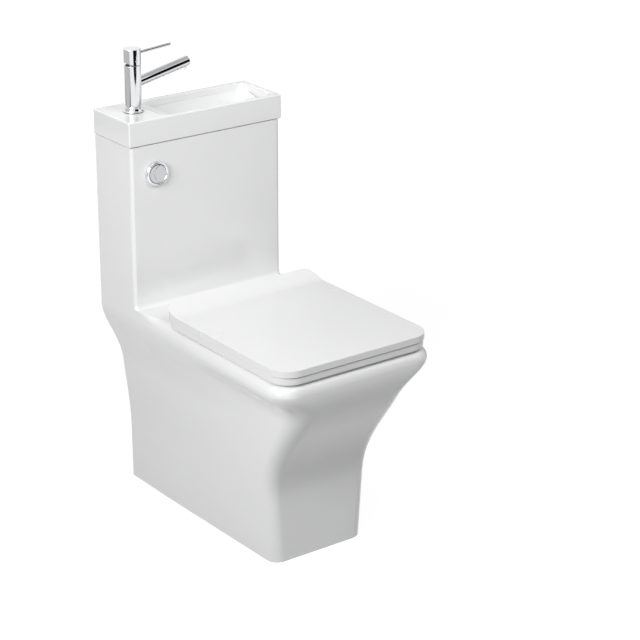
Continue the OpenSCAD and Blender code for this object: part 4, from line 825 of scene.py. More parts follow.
def make_china(c, b):
    glaze, biscuit = FINISHES["white_china"], FINISHES["biscuit"]
    at = BowlPlaces(c, b)
    under_deck = c.deck - c.wall
    duct_z = under_deck - FLUSH_DUCT - DUCT_ROOF
    tank_floor = c.deck + TANK_FLOOR - c.wall
    china = solid("china_skin", pan_form(c), glaze)
    add(china, tower_form(c), glaze)
    join(china, pan_hollow(c, b, at, duct_z), "DIFFERENCE")
    side = c.foot_back / 2 - c.wall - WINDOW_SIDE
    cut(china, block(spot(-side, c.wall + OVER, -OVER), spot(side, -OVER, c.deck - WINDOW_DROP)), biscuit)
    cut(china, bowl_form(c, b, at, 0.0, c.deck + OVER), glaze)
    cut(china, trap_run(b, at, b.trap_radius), glaze)
    cut(china, level(b.trap_radius, 0, b.outlet_height, b.outlet_gap + OVER, b.outlet_gap - OVER), glaze)
    cut(china, level(FLUSH_DUCT, VALVE_X, duct_z, VALVE_D - FLUSH_DUCT, at.mouth_back + DUCT_PAST), glaze)
    cut(china, upright(VALVE_HOLE, VALVE_X, VALVE_D, duct_z, tank_floor + OVER), glaze)
    front = c.tower_depth - TANK_WALL
    inside = c.tower_width / 2 - TANK_WALL
    water = round_rect(0, (front + TANK_WALL) / 2, inside, (front - TANK_WALL) / 2, TANK_CORNER)
    cut(china, prism(water, tank_floor, TOWER_TOP + OVER), biscuit)
    cut(china, upright(INLET_HOLE, INLET_X, VALVE_D, under_deck - OVER, tank_floor + OVER), biscuit)
    cut(china, level(BUTTON_HOLE, BUTTON_X, BUTTON_Z, front - OVER, c.tower_depth + OVER), glaze)
    for x, z, radius in ((WASTE_X, WASTE_OUT, WASTE_HOLE), *((x, z, TAIL_HOLE) for x, z in TAIL_PLACES)):
        cut(china, level(radius, x, z, TANK_WALL + OVER, -OVER), biscuit)
    for side in (-1, 1):
        cut(china, upright(HINGE_HOLE, side * HINGE_X, HINGE_D, under_deck - OVER, c.deck + OVER), glaze)
    bare_back_and_base(china)
    stand_for(china, "china", "white_china", "china_body", "tower_walls", "tower_back")


# ---- basin

TAP_X, TAP_D, TAP_BORE = -0.125, 0.064, 0.017
WASTE_D, WASTE_BORE = 0.0645, 0.022
FLANGE_RECESS, FLANGE_SINK = 0.0283, 0.0005      # radius and depth of the shallow seat of the waste's flange
BASIN_LOW_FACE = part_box("basin_seal")[1].z
BASIN_FIT = 0.0015               # gap between the bowl and the cistern's walls
BASIN_RINGS = 22
NARROW_OVER = 0.004              # height over the low face where the bowl is as narrow as the cistern
RAMP_FROM, RAMP_POWER = 0.033, 1.25      # where the ramp starts, from the tap's axis, and how it steepens
FAR_RIM = 0.001                  # extra width of the rim at the end away from the tap
BASIN_CORNER, BASIN_CORNER_LESS = 0.020, 0.004   # corner radius at the top, and what it has lost at the floor
UNDER_SIDE, UNDER_FRONT, UNDER_BACK = 0.003, 0.004, 0.002    # walls round the underside, over the rim's width
BASIN_SHELL_TOP = 0.005          # how far the bowl's shell stops below the top


def basin_ring(s, c, z, grow):
    """The bowl's outline at height z: a ramp falls away from the tap, and the far end is steep."""
    top, floor = BASIN_HIGH.z, BASIN_HIGH.z - s.depth
    tank_front = c.tower_depth - TANK_WALL
    width, depth = BASIN_HIGH.x - BASIN_LOW.x, BASIN_HIGH.y - BASIN_LOW.y
    share = clamp((top - z) / s.depth)
    fall = ease(share, 0, (top - BASIN_LOW_FACE - NARROW_OVER) / s.depth)
    low = round_in(s.floor_round, 1 - (z - floor + grow) / s.floor_round)
    lip = 0.0 if grow else round_in(s.lip, 1 - (top - z) / s.lip)
    edge = grow - low + lip
    left = TAP_X + RAMP_FROM + s.ramp * share ** RAMP_POWER - edge
    low_right = c.tower_width / 2 - TANK_WALL - s.wall - BASIN_FIT
    right = lerp(width / 2 - s.rim - FAR_RIM, low_right, fall) + edge
    half_d = lerp(depth / 2 - s.rim, (tank_front - TANK_WALL) / 2 - s.wall - BASIN_FIT, fall) + edge
    middle = lerp(depth / 2, (tank_front + TANK_WALL) / 2, fall)
    radius = min(half_d, BASIN_CORNER - BASIN_CORNER_LESS * share) - SLIVER
    return at_height(round_rect((left + right) / 2, middle, (right - left) / 2, half_d, radius), z)


def basin_form(s, c, grow, top):
    low = BASIN_HIGH.z - s.depth - grow
    wall_low = low + s.floor_round
    wall = [lerp(wall_low, BASIN_HIGH.z - s.lip, i / BASIN_RINGS) for i in range(BASIN_RINGS + 1)]
    lip = [] if grow else lip_steps(BASIN_HIGH.z, s.lip)
    return loft([basin_ring(s, c, z, grow) for z in floor_steps(low, s.floor_round) + wall + lip + [top]])


def make_basin(s, c):
    glaze, biscuit = FINISHES["white_china"], FINISHES["biscuit"]
    outside = block(Vector((BASIN_LOW.x, BASIN_LOW.y, BASIN_LOW_FACE)), BASIN_HIGH.copy())
    bmesh.ops.bevel(outside, geom=list(outside.edges), offset=s.edge, segments=5, profile=0.5, affect="EDGES",
                    material=-1)
    basin = solid("basin_skin", outside, glaze)
    front = WALL_Y - BASIN_LOW.y - s.rim - UNDER_FRONT
    low = spot(BASIN_LOW.x + s.rim + UNDER_SIDE, front, BASIN_LOW_FACE - OVER)
    high = spot(BASIN_HIGH.x - s.rim - UNDER_SIDE, s.rim + UNDER_BACK, BASIN_HIGH.z - s.rim)
    cut(basin, block(low, high), biscuit)
    add(basin, basin_form(s, c, s.wall, BASIN_HIGH.z - BASIN_SHELL_TOP), biscuit)
    cut(basin, basin_form(s, c, 0.0, BASIN_HIGH.z + OVER), glaze)
    floor_z = BASIN_HIGH.z - s.depth
    sunk = spot(WASTE_X, WASTE_D, floor_z - FLANGE_SINK)
    cut(basin, rod(FLANGE_RECESS, sunk, sunk + UP * s.floor_round, steps=96), glaze)
    cut(basin, upright(WASTE_BORE, WASTE_X, WASTE_D, floor_z - s.wall - OVER, floor_z + OVER), glaze)
    cut(basin, upright(TAP_BORE, TAP_X, TAP_D, BASIN_HIGH.z - s.rim - OVER, BASIN_HIGH.z + OVER), glaze)
    stand_for(basin, "china", "white_china", "basin")


# ---- seat and lid

KNUCKLE_X, KNUCKLE_LENGTH = 0.0855, 0.0195       # the seat's knuckle starts here; the lid's is as long
KNUCKLE_END = KNUCKLE_X + KNUCKLE_LENGTH
PIN_HOLE = 0.00405
SEAT_RISE, SEAT_TOP = 0.002, 0.016       # heights of the seat's faces over the deck
SEAT_BACK = 0.002                # how much further in than its sides the seat's rear edge stands
NOTCH_SIDE, NOTCH_AHEAD, NOTCH_BEHIND = 0.006, 0.018, 0.03   # past the knuckles, and round the hinge axis
WEB_AHEAD, WEB_BEHIND = 0.020, -0.001    # the web that carries a knuckle, round the hinge axis
WEB_LOW, WEB_TOP = 0.004, 0.002          # its ends, over the seat's underside and below the axis
HOLE_EDGE, HOLE_CORNER = 0.006, 0.062


def plan(half, back, front, back_radius, front_radius, steps=14):
    """Outline with large corners at the front and smaller ones at the back."""
    right = (arc((half - back_radius, back + back_radius), back_radius, -90, 0, steps)
             + arc((half - front_radius, front - front_radius), front_radius, 0, 90, steps))
    return right + [(-x, d) for x, d in reversed(right)]


def hinge_rod(radius, start, end, steps=48):
    return rod(radius, spot(start, HINGE_D, HINGE_Z), spot(end, HINGE_D, HINGE_Z), steps)


def hinge_block(x, ahead, behind, low, high):
    """A box from x[0] to x[1] that spans the hinge axis, with distances ahead of and behind it."""
    return block(spot(x[0], HINGE_D + ahead, low), spot(x[1], HINGE_D - behind, high))


def seat_hole_ring(s, middle, top, z):
    """The seat's opening at height z, which widens over its upper edge."""
    grow = round_in(HOLE_EDGE, 1 - min(top - z, HOLE_EDGE) / HOLE_EDGE)
    half_x, half_d = s.hole_width / 2 + grow, s.hole_length / 2 + grow
    return at_height(round_rect(0, middle, half_x, half_d, HOLE_CORNER + grow, steps=16), z)


def make_seat(s, c, b):
    plastic = FINISHES["seat_plastic"]
    bottom, top = c.deck + SEAT_RISE, c.deck + SEAT_TOP
    back, front = WALL_Y - LID_HIGH.y + s.inset + SEAT_BACK, WALL_Y - SEAT_LOW.y
    outline = plan(SEAT_HIGH.x, back, front, s.back_corner - s.inset, s.front_corner - s.inset)
    seat = solid("seat_skin", prism(outline, bottom, top), plastic)
    notch = KNUCKLE_END + NOTCH_SIDE
    cut(seat, hinge_block((-notch, notch), NOTCH_AHEAD, NOTCH_BEHIND, bottom - OVER, top + OVER), plastic)
    soften(seat, s.soft_edge)
    for side in (-1, 1):
        start, end = side * KNUCKLE_X, side * KNUCKLE_END
        web = sorted((start, end))
        add(seat, hinge_block(web, WEB_AHEAD, WEB_BEHIND, bottom + WEB_LOW, HINGE_Z - WEB_TOP), plastic)
        add(seat, hinge_rod(s.hinge_radius, start, end), plastic)
    middle = BowlPlaces(c, b).mouth
    heights = [bottom - OVER, top - HOLE_EDGE, *lip_steps(top, HOLE_EDGE), top + OVER]
    cut(seat, loft([seat_hole_ring(s, middle, top, z) for z in heights]), plastic)
    for side in (-1, 1):
        cut(seat, hinge_rod(PIN_HOLE, side * (KNUCKLE_X - OVER), side * (KNUCKLE_END + OVER)), plastic)
    stand_for(seat, "seat", "seat_plastic", "seat_ring")


HEEL_RISE, HEEL_RUN = 0.003, 0.004       # chamfer under the lid's rear edge
CURL_STEPS = 20
PANEL_IN, PANEL_BACK = 0.028, 0.010      # the recess under the lid: in from its edge, and forward of the curl
PANEL_CORNER, PANEL_DEPTH = 0.024, 0.0035
POST_SIDE, POST_GAP = 0.0075, 0.0003     # half a post with the gap beside it, and what the slot adds
SLOT_PAST = 0.0015               # how far a slot runs past the seat's knuckle
SLOT_ROUND = 0.0006              # and how far round it
SLOT_BEHIND, SLOT_TOP = 0.030, 0.0098    # its way out at the back, and its top over the axis
SLOT_AHEAD, SLOT_ROOF = 0.022, 0.0014    # its way ahead for the web, and how far its roof is below the axis
LID_KNUCKLE = 0.008              # from a post's middle to the lid's knuckle
KNUCKLE_LESS = 0.0005            # what the lid's knuckle lacks of the seat's radius
POCKET = 0.016                   # length of the pocket beside the lid's knuckle


def lid_section(s, back, front, bottom):
    """The lid's section as pairs of (distance, height): flat below, and curled up over the hinges."""
    top = bottom + s.lid_thickness
    curl_end = back + s.curl_length
    curl_height = LID_HIGH.z - top
    line = [(back, bottom + HEEL_RISE), (back + HEEL_RUN, bottom), (front, bottom), (front, top)]
    for i in range(CURL_STEPS + 1):
        d = lerp(curl_end, back, i / CURL_STEPS)
        line.append((d, top + curl_height * ((curl_end - d) / s.curl_length) ** 2))
    return line


def fit_lid_hinge(lid, s, side, plastic):
    """Opens the lid round a post and the seat's knuckle, and gives it a knuckle of its own."""
    low = LID_LOW.z - OVER
    span = sorted((side * (HINGE_X - POST_SIDE - POST_GAP), side * (KNUCKLE_END + SLOT_PAST)))
    outer = HINGE_X - LID_KNUCKLE
    inner = outer - KNUCKLE_LENGTH
    cut(lid, hinge_rod(s.hinge_radius + SLOT_ROUND, *span), plastic)
    cut(lid, hinge_block(span, 0.0, SLOT_BEHIND, low, HINGE_Z + SLOT_TOP), plastic)
    cut(lid, hinge_block(span, SLOT_AHEAD, OVER, low, HINGE_Z - SLOT_ROOF), plastic)
    cut(lid, hinge_rod(s.hinge_radius, side * (inner - POCKET), side * inner), plastic)
    add(lid, hinge_rod(s.hinge_radius - KNUCKLE_LESS, side * inner, side * outer), plastic)
    cut(lid, hinge_rod(PIN_HOLE, side * (inner - OVER), side * (outer + OVER)), plastic)


def make_lid(s):
    plastic = FINISHES["seat_plastic"]
    bottom = LID_LOW.z
    back, front, half = WALL_Y - LID_HIGH.y, WALL_Y - LID_LOW.y, LID_HIGH.x
    line = lid_section(s, back, front, bottom)
    ends = [[spot(x, d, z) for d, z in line] for x in (-half - OVER, half + OVER)]
    lid = solid("lid_skin", loft(ends), plastic)
    outline = plan(half, back, front, s.back_corner, s.front_corner)
    keep(lid, prism(outline, bottom - OVER, LID_HIGH.z + OVER), plastic)
    soften(lid, s.soft_edge, angle=35)
    panel_back = back + s.curl_length + PANEL_BACK
    panel = plan(half - PANEL_IN, panel_back, front - PANEL_IN, PANEL_CORNER, PANEL_CORNER)
    cut(lid, prism(panel, bottom - OVER, bottom + PANEL_DEPTH), plastic)
    for side in (-1, 1):
        fit_lid_hinge(lid, s, side, plastic)
    stand_for(lid, "lid", "seat_plastic", "lid")


# ---- tap

FOOT_GAP = 0.0012                # thickness of the ring under the tap's foot
FOOT_BAND, FOOT_FLARE, FOOT_STEPS = 0.001, 0.007, 12     # a straight band, and the height of the flare
BASE_EDGE = 0.0004               # chamfer round the end that a turned piece stands on
COLUMN_EDGE, SPOUT_EDGE, LEVER_EDGE, CAP_EDGE = 0.0006, 0.0008, 0.0008, 0.001
SPOUT_RISE, LEVER_RISE, CAP_TILT = math.radians(12), math.radians(5), math.radians(22)
CARTRIDGE_BORE, CARTRIDGE_DEPTH = 0.0121, 0.030
SPOUT_WALL, SPOUT_FROM, SPOUT_END = 0.0024, 0.008, 0.004     # the spout's wall, and the ends of its bore
AERATOR_BACK, AERATOR_RADIUS, AERATOR_FIT = 0.013, 0.0065, 0.0001
NOZZLE_PAST = 0.001              # how far the nozzle's hole is cut past the spout's underside
NOZZLE_FACE, NOZZLE_LENGTH, NOZZLE_WALL, NOZZLE_EDGE = 0.0025, 0.0085, 0.0014, 0.0006
MESH_IN, MESH_BACK, MESH_FRONT = 0.0012, 0.004, 0.002    # the nozzle's mesh, in from its side and face
CAP_GAP, CAP_WALL, CAP_ROOF, CAP_CROWN = 0.0012, 0.0032, 0.012, 0.0004
PIVOT_RISE, PIVOT_BORE = 0.009, 0.00255
LEVER_SHARE = 0.62               # height of the lever's axis, as a share of the cap's
RELIEF_GAP = 0.0003              # air between the column and the cap when it is tipped


class TapPlaces:
    """Places and directions of the tap's pieces, worked out from their sizes."""

    def __init__(self, t):
        self.base = spot(TAP_X, TAP_D, BASIN_HIGH.z + FOOT_GAP)
        self.way = Vector((math.cos(SPOUT_RISE), 0, math.sin(SPOUT_RISE)))
        self.down = Vector((self.way.z, 0, -self.way.x))
        self.root = self.base + UP * t.spout_height
        self.far = t.spout_reach / math.cos(SPOUT_RISE)
        self.nozzle = self.root + self.way * (self.far - AERATOR_BACK)
        self.cap = self.base + UP * (t.column + CAP_GAP)
        self.pivot = self.cap + UP * PIVOT_RISE


def turned_base(radius):
    """Profile points from the axis to a turned side, over a small chamfer."""
    return [(0, 0), (radius - BASE_EDGE, 0), (radius, BASE_EDGE)]


def make_column(t, at, plate):
    flare = t.foot_radius - t.radius
    angles = [math.radians(90 * i / FOOT_STEPS) for i in range(FOOT_STEPS + 1)]
    foot = [(t.radius + flare * (1 - math.sin(a)), FOOT_BAND + FOOT_FLARE * (1 - math.cos(a)))
            for a in angles]
    shoulder = rounded_end(t.radius, t.column, COLUMN_EDGE)
    profile = turned_base(t.foot_radius) + foot + shoulder + [(0, t.column)]
    tap = solid("tap_column", lathe(profile, at.base), plate)
    tip = rounded_end(t.spout_radius, at.far, SPOUT_EDGE)
    add(tap, lathe([(0, 0), (t.spout_radius, 0)] + tip + [(0, at.far)], at.root, at.way), plate)
    top = at.base + UP * (t.column + OVER)
    cut(tap, rod(CARTRIDGE_BORE, at.base + UP * (t.column - CARTRIDGE_DEPTH), top), plate)
    bore = at.root + at.way * SPOUT_FROM, at.root + at.way * (at.far - SPOUT_END)
    cut(tap, rod(t.spout_radius - SPOUT_WALL, *bore), plate)
    mouth = at.nozzle + at.down * (t.spout_radius + NOZZLE_PAST)
    cut(tap, rod(AERATOR_RADIUS + AERATOR_FIT, at.nozzle, mouth), plate)
    stand_for(tap, "china", "chrome", "tap_body")


def make_nozzle(t, at, plate):
    face = t.spout_radius + NOZZLE_FACE
    back, inside = face - NOZZLE_LENGTH, AERATOR_RADIUS - NOZZLE_WALL
    rim = [(inside, back), (AERATOR_RADIUS, back), (AERATOR_RADIUS, face - NOZZLE_EDGE),
           (AERATOR_RADIUS - NOZZLE_EDGE, face), (inside, face), (inside, back)]
    aerator = solid("tap_nozzle", lathe(rim, at.nozzle, at.down, steps=64), plate)
    ends = [at.nozzle + at.down * (face - depth) for depth in (MESH_BACK, MESH_FRONT)]
    add(aerator, rod(AERATOR_RADIUS - MESH_IN, *ends), plate)
    stand_for(aerator, "china", "chrome", "tap_aerator")


def make_cap(t, at, plate):
    crown = rounded_end(t.cap_radius, t.cap, CAP_EDGE, steps=5)
    profile = turned_base(t.cap_radius) + crown + [(0, t.cap + CAP_CROWN)]
    cap = solid("tap_cap_skin", lathe(profile, at.cap), plate)
    cut(cap, rod(t.cap_radius - CAP_WALL, at.cap - UP * (OVER / 2), at.cap + UP * (t.cap - CAP_ROOF)), plate)
    relief_cut(cap, t, at.pivot, plate)
    side = t.cap_radius + OVER
    cut(cap, rod(PIVOT_BORE, at.pivot + TO_ROOM * side, at.pivot + TO_WALL * side), plate)
    stand_for(cap, "tap_handle", "chrome", "tap_cap")


def relief_cut(cap, t, pivot, plate):
    """Cuts the cap's lower back away, so that it clears the column as it tips."""
    face = PIVOT_RISE + CAP_GAP - RELIEF_GAP
    far = -t.cap_radius - OVER

    def lowest(x):
        return -(face + x * math.sin(CAP_TILT)) / math.cos(CAP_TILT)

    wedge = [(0, lowest(0)), (far, lowest(far)), (far, -t.cap), (0, -t.cap)]
    cut(cap, loft([[pivot + Vector((x, y, z)) for x, z in wedge] for y in (far, -far)]), plate)


def make_lever(t, at, plate):
    lean = Vector((math.cos(LEVER_RISE), 0, math.sin(LEVER_RISE)))
    heart = at.cap + UP * t.cap * LEVER_SHARE
    inner, outer = t.cap_radius - CAP_WALL, t.lever_reach
    end = rounded_end(t.lever_radius, outer, LEVER_EDGE)
    profile = [(0, inner), (t.lever_radius, inner)] + end + [(0, outer)]
    lever = solid("tap_lever_pin", lathe(profile, heart, lean, steps=48), plate)
    stand_for(lever, "tap_handle", "chrome", "tap_lever")


def make_tap(t):
    at = TapPlaces(t)
    for make in (make_column, make_nozzle, make_cap, make_lever):
        make(t, at, FINISHES["chrome"])


# ---- flush button and waste

BEZEL_OUT, BEZEL_IN, BEZEL_RISE = 0.025, 0.0186, 0.009
BEZEL_FOOT, BEZEL_EDGE, BEZEL_STEPS = 0.0002, 0.45, 24   # gap to the tower, and its edges' share of the rise
DISC = 0.0182                    # radius that both buttons are cut from
FACE = 0.0068                    # how far their faces stand out from the tower
SKIRT = 0.009                    # depth of their sides
DOME, DOME_STEPS, DOME_FOOT = 0.400, 16, 0.030   # radius of the faces, and how far back their solid goes
DISC_SPARE, TOOL_SPARE = 0.005, 0.01     # what the blank and its cutter have to spare over the face
LENS_SHIFT, LENS_GAP = 0.010, 0.00035    # how far the lens is beside the centre, and smaller
DISC_EDGE = 0.0005
STEM, STEM_IN = 0.0025, 0.001    # radius of a stem, and how deep it starts in its button

# The two buttons: name, body, node, rise of the face's middle, and the stem's place beside the centre
BUTTONS = (
    ("half_flush_lens", "half_button", "half_flush_button", 0.0012, 0.007),
    ("full_flush_crescent", "full_button", "full_flush_button", 0.0008, -0.013),
)


def shallow_dome(centre, height):
    """A dome that faces the room: its middle is a height over the tower's face, and its foot behind that."""
    edge = DISC + OVER
    radii = [edge * i / DOME_STEPS for i in range(DOME_STEPS + 1)]
    crown = [(radius, height - DOME + math.sqrt(DOME ** 2 - radius ** 2)) for radius in radii]
    return lathe(crown + [(edge, -DOME_FOOT), (0, -DOME_FOOT)], centre, TO_ROOM, FINE)


def make_bezel(centre, plate):
    ring = [(BEZEL_IN, BEZEL_FOOT), (BEZEL_OUT, BEZEL_FOOT)]
    for i in range(BEZEL_STEPS + 1):
        a = math.radians(180 * i / BEZEL_STEPS)
        rise = BEZEL_RISE * (BEZEL_EDGE + (1 - BEZEL_EDGE) * math.sin(a))
        ring.append((lerp(BEZEL_IN, BEZEL_OUT, 0.5 + 0.5 * math.cos(a)), rise))
    bezel = solid("button_bezel_ring", lathe(ring + [ring[0]], centre, TO_ROOM, FINE), plate)
    stand_for(bezel, "china", "chrome", "button_bezel")


def make_disc(centre, name, body, node, crown, stem, plate):
    """The lens, or the crescent beside it, with the stem that reaches back through the tower."""
    blank = rod(DISC, centre + TO_ROOM * (FACE - SKIRT), centre + TO_ROOM * (FACE + DISC_SPARE), FINE)
    disc = solid(name, blank, plate)
    keep(disc, shallow_dome(centre, FACE + crown), plate)
    low, high = centre + TO_ROOM * (FACE - SKIRT - OVER), centre + TO_ROOM * (FACE + TOOL_SPARE)
    ends = low + RIGHT * LENS_SHIFT, high + RIGHT * LENS_SHIFT
    if body == "half_button":
        keep(disc, rod(DISC - LENS_GAP, *ends, FINE), plate)
    else:
        cut(disc, rod(DISC, *ends, FINE), plate)
    soften(disc, DISC_EDGE, segments=2, angle=50)
    start = Vector((centre.x + stem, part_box(node)[1].y, centre.z))
    end = Vector((centre.x + stem, centre.y - FACE + SKIRT - STEM_IN, centre.z))
    add(disc, rod(STEM, start, end, steps=24), plate)
    stand_for(disc, body, "chrome", node)


def make_button():
    plate = FINISHES["chrome"]
    centre = spot(BUTTON_X, TOWER_DEPTH, BUTTON_Z)
    make_bezel(centre, plate)
    for button in BUTTONS:
        make_disc(centre, *button, plate)


PLUG_RADIUS, PLUG_RISE, PLUG_DEPTH = 0.025, 0.0035, 0.0045
PLUG_SIDE, PLUG_SIDE_DROP, PLUG_LOW = 0.0248, 0.0006, 0.024      # its edge below the dome, and its underside
PLUG_STEM, PLUG_STEM_IN = 0.004, 0.002
PLUG_STEPS = 10


def make_plug():
    plate = FINISHES["chrome"]
    low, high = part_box("waste_plug")
    centre = Vector(((low.x + high.x) / 2, (low.y + high.y) / 2, high.z))
    angles = [math.radians(90 * i / PLUG_STEPS) for i in range(PLUG_STEPS - 1)]
    dome = [(PLUG_RADIUS * math.sin(a), -PLUG_RISE + PLUG_RISE * math.cos(a)) for a in angles]
    edge = [(PLUG_RADIUS, -PLUG_RISE), (PLUG_SIDE, -PLUG_RISE - PLUG_SIDE_DROP), (PLUG_LOW, -PLUG_DEPTH)]
    plug = solid("waste_plug_skin", lathe(dome + edge + [(0, -PLUG_DEPTH)], centre), plate)
    foot = Vector((centre.x, centre.y, low.z))
    add(plug, rod(PLUG_STEM, foot, centre - UP * PLUG_STEM_IN, steps=32), plate)
    stand_for(plug, "plug", "chrome", "waste_plug")


FITTING_EDGE = 0.0004
FITTINGS = (
    ("hinge_posts", "chrome"),
    ("waste_body", "chrome"),
    ("tap_base_ring", "rubber"),
    ("hinge_pins", "steel"),
)


def refine(node, body, slot):
    """A merged copy of a node with softened edges and smooth shading takes its place."""
    bm = bmesh.new()
    bm.from_mesh(frame["nodes"][node].data)
    bmesh.ops.remove_doubles(bm, verts=bm.verts, dist=MERGE)
    piece = new_piece(node + "_skin", bm, FINISHES[slot])
    soften(piece, FITTING_EDGE, segments=2, angle=50)
    stand_for(piece, body, slot, node)


# ---- operators


class SimpleOperator(bpy.types.Operator):
    """Shared by every operator: each can be undone"""
    bl_options = {"REGISTER", "UNDO"}


class WC_OT_finishes(SimpleOperator):
    """Make every finish, and give one to each piece of the frame"""
    bl_idname = "wc.finishes"
    bl_label = "Finishes"

    def execute(self, context):
        make_finishes(context.scene.wc_finishes)
        slots = {part["node"]: part["material_slot"] for part in frame["record"]["subparts"]}
        for name, node in frame["nodes"].items():
            material = FINISHES[slots[name]]
            node.data.materials.clear()
            node.data.materials.append(material)
        return {"FINISHED"}


class WC_OT_china(SimpleOperator):
    """Make the pan and tower, one piece of glazed china"""
    bl_idname = "wc.china"
    bl_label = "China"

    def execute(self, context):
        make_china(context.scene.wc_china, context.scene.wc_bowl)
        return {"FINISHED"}


class WC_OT_basin(SimpleOperator):
    """Make the hand basin"""
    bl_idname = "wc.basin"
    bl_label = "Basin"

    def execute(self, context):
        make_basin(context.scene.wc_basin, context.scene.wc_china)
        return {"FINISHED"}


class WC_OT_seat(SimpleOperator):
    """Make the seat and the lid"""
    bl_idname = "wc.seat"
    bl_label = "Seat and lid"

    def execute(self, context):
        scene = context.scene
        make_seat(scene.wc_seat, scene.wc_china, scene.wc_bowl)
        make_lid(scene.wc_seat)
        return {"FINISHED"}


class WC_OT_tap(SimpleOperator):
    """Make the mixer tap with its cap, lever and nozzle"""
    bl_idname = "wc.tap"
    bl_label = "Tap"

    def execute(self, context):
        make_tap(context.scene.wc_tap)
        return {"FINISHED"}


class WC_OT_fittings(SimpleOperator):
    """Make the flush button, the plug and the small fittings that show"""
    bl_idname = "wc.fittings"
    bl_label = "Button and fittings"

    def execute(self, context):
        make_button()
        make_plug()
        for node, slot in FITTINGS:
            refine(node, "china", slot)
        return {"FINISHED"}


# ---- stage


# Softboxes: name, place, point that it faces, width and height
LAMPS = (
    ("key", (-1.8, -0.7, 1.6), (0, 0.1, 0.5), (1.1, 1.1)),
    ("front", (0.4, -1.3, 2.0), (0.05, 0.1, 0.6), (1.2, 0.8)),
    ("top", (0.0, 0.5, 2.3), (0, 0.2, 0.6), (1.2, 1.0)),
)


def make_lamps(s):
    """Softboxes that the camera doesn't see, each with the power that the sizes give under its name.

    The front one stays out of reflections too, because it would hide a dark card from the plated pieces.
    """
    for name, place, target, size in LAMPS:
        data = bpy.data.lights.new(name, "AREA")
        data.shape = "RECTANGLE"
        data.size, data.size_y = size
        data.energy = getattr(s, name + "_power")
        lamp = bpy.data.objects.new(name, data)
        lamp.location = place
        lamp.rotation_mode = "QUATERNION"
        lamp.rotation_quaternion = (Vector(target) - Vector(place)).to_track_quat("-Z", "Y")
        lamp.visible_camera = False
        lamp.visible_glossy = name != "front"
        bpy.context.collection.objects.link(lamp)


def seen_rays(tree):
    """A value that is 1 for camera, glossy and transmitted rays, and 0 for those that carry light."""
    path = tree.nodes.new("ShaderNodeLightPath")
    seen = path.outputs["Is Camera Ray"]
    for other in ("Is Glossy Ray", "Is Transmission Ray"):
        most = tree.nodes.new("ShaderNodeMath")
        most.operation = "MAXIMUM"
        tree.links.new(seen, most.inputs[0])
        tree.links.new(path.outputs[other], most.inputs[1])
        seen = most.outputs[0]
    return seen


def show_to_seen_rays(tree, plain, seen, output):
    """The plain shader carries light, and the other is what camera, glossy and transmitted rays meet."""
    mix = tree.nodes.new("ShaderNodeMixShader")
    tree.links.new(seen_rays(tree), mix.inputs["Fac"])
    tree.links.new(plain, mix.inputs[1])
    tree.links.new(seen, mix.inputs[2])
    tree.links.new(mix.outputs[0], tree.nodes[output].inputs["Surface"])


def plane(name, material, transform):
    """A flat square of the stage, one metre wide before its transform."""
    bm = bmesh.new()
    bmesh.ops.create_grid(bm, x_segments=1, y_segments=1, size=0.5, matrix=transform)
    piece = new_piece(name, bm, material)
    return piece


FLOOR_WIDTH = 60.0
GLOW_NEAR, GLOW_FAR = 0.82, 0.98          # white that the floor shows by itself, near the object and far off
GLOW_FROM, GLOW_TO = 1.0, 4.0             # distances between which it grows, as the lamps' light fades


def make_floor(finishes):
    """A floor that looks white and keeps the object's shadow, and throws little light back."""
    material, tree, shader, place = new_finish("studio_floor", finishes.floor, 0.9)
    shader.inputs["Specular IOR Level"].default_value = 0.0
    distance = tree.nodes.new("ShaderNodeVectorMath")
    distance.operation = "LENGTH"
    tree.links.new(place, distance.inputs[0])
    grow = map_range(tree, distance.outputs["Value"], GLOW_FROM, GLOW_TO, GLOW_NEAR, GLOW_FAR)
    glow = tree.nodes.new("ShaderNodeEmission")
    tree.links.new(grow, glow.inputs["Strength"])
    both = tree.nodes.new("ShaderNodeAddShader")
    tree.links.new(shader.outputs["BSDF"], both.inputs[0])
    tree.links.new(glow.outputs["Emission"], both.inputs[1])
    show_to_seen_rays(tree, shader.outputs["BSDF"], both.outputs[0], "Material Output")
    plane("floor", material, Matrix.Scale(FLOOR_WIDTH, 4))


SKY_TONE = (0.98, 0.99, 1.0, 1)


def make_world(brightness):
    world = bpy.data.worlds.new("studio")
    world.use_nodes = True
    bpy.context.scene.world = world
    tree = world.node_tree
    light = tree.nodes["Background"]
    light.inputs["Color"].default_value = SKY_TONE
    light.inputs["Strength"].default_value = brightness
    white = tree.nodes.new("ShaderNodeBackground")
    white.inputs["Color"].default_value = (1, 1, 1, 1)
    white.inputs["Strength"].default_value = 1.0
    show_to_seen_rays(tree, light.outputs[0], white.outputs[0], "World Output")


# Cards as a studio hangs round chrome: name, bearing from the tap and lean over it in degrees, distance,
# height, width, tallness, grey
CARDS = (
    ("card_front", 277, 0, 2.2, 1.15, 1.62, 1.76, 0.006),
    ("card_spout", 301, 0, 2.2, 1.445, 0.50, 2.17, 0.006),
    ("card_left", 163, 0, 2.0, 0.95, 4.4, 2.1, 0.58),
    ("card_right", 22, 0, 2.0, 0.95, 1.9, 2.1, 0.30),
    ("card_back", 58.5, 0, 2.0, 1.675, 0.30, 0.13, 0.36),
    ("card_over", 335, 89.9, 0.53, 2.07, 2.2, 0.9, 0.50),
    ("card_low_left", 165, 0, 1.9, 0.11, 3.4, 0.20, 0.15),
    ("card_low_front", 302, 0, 1.5, 0.245, 0.8, 0.31, 0.74),
)


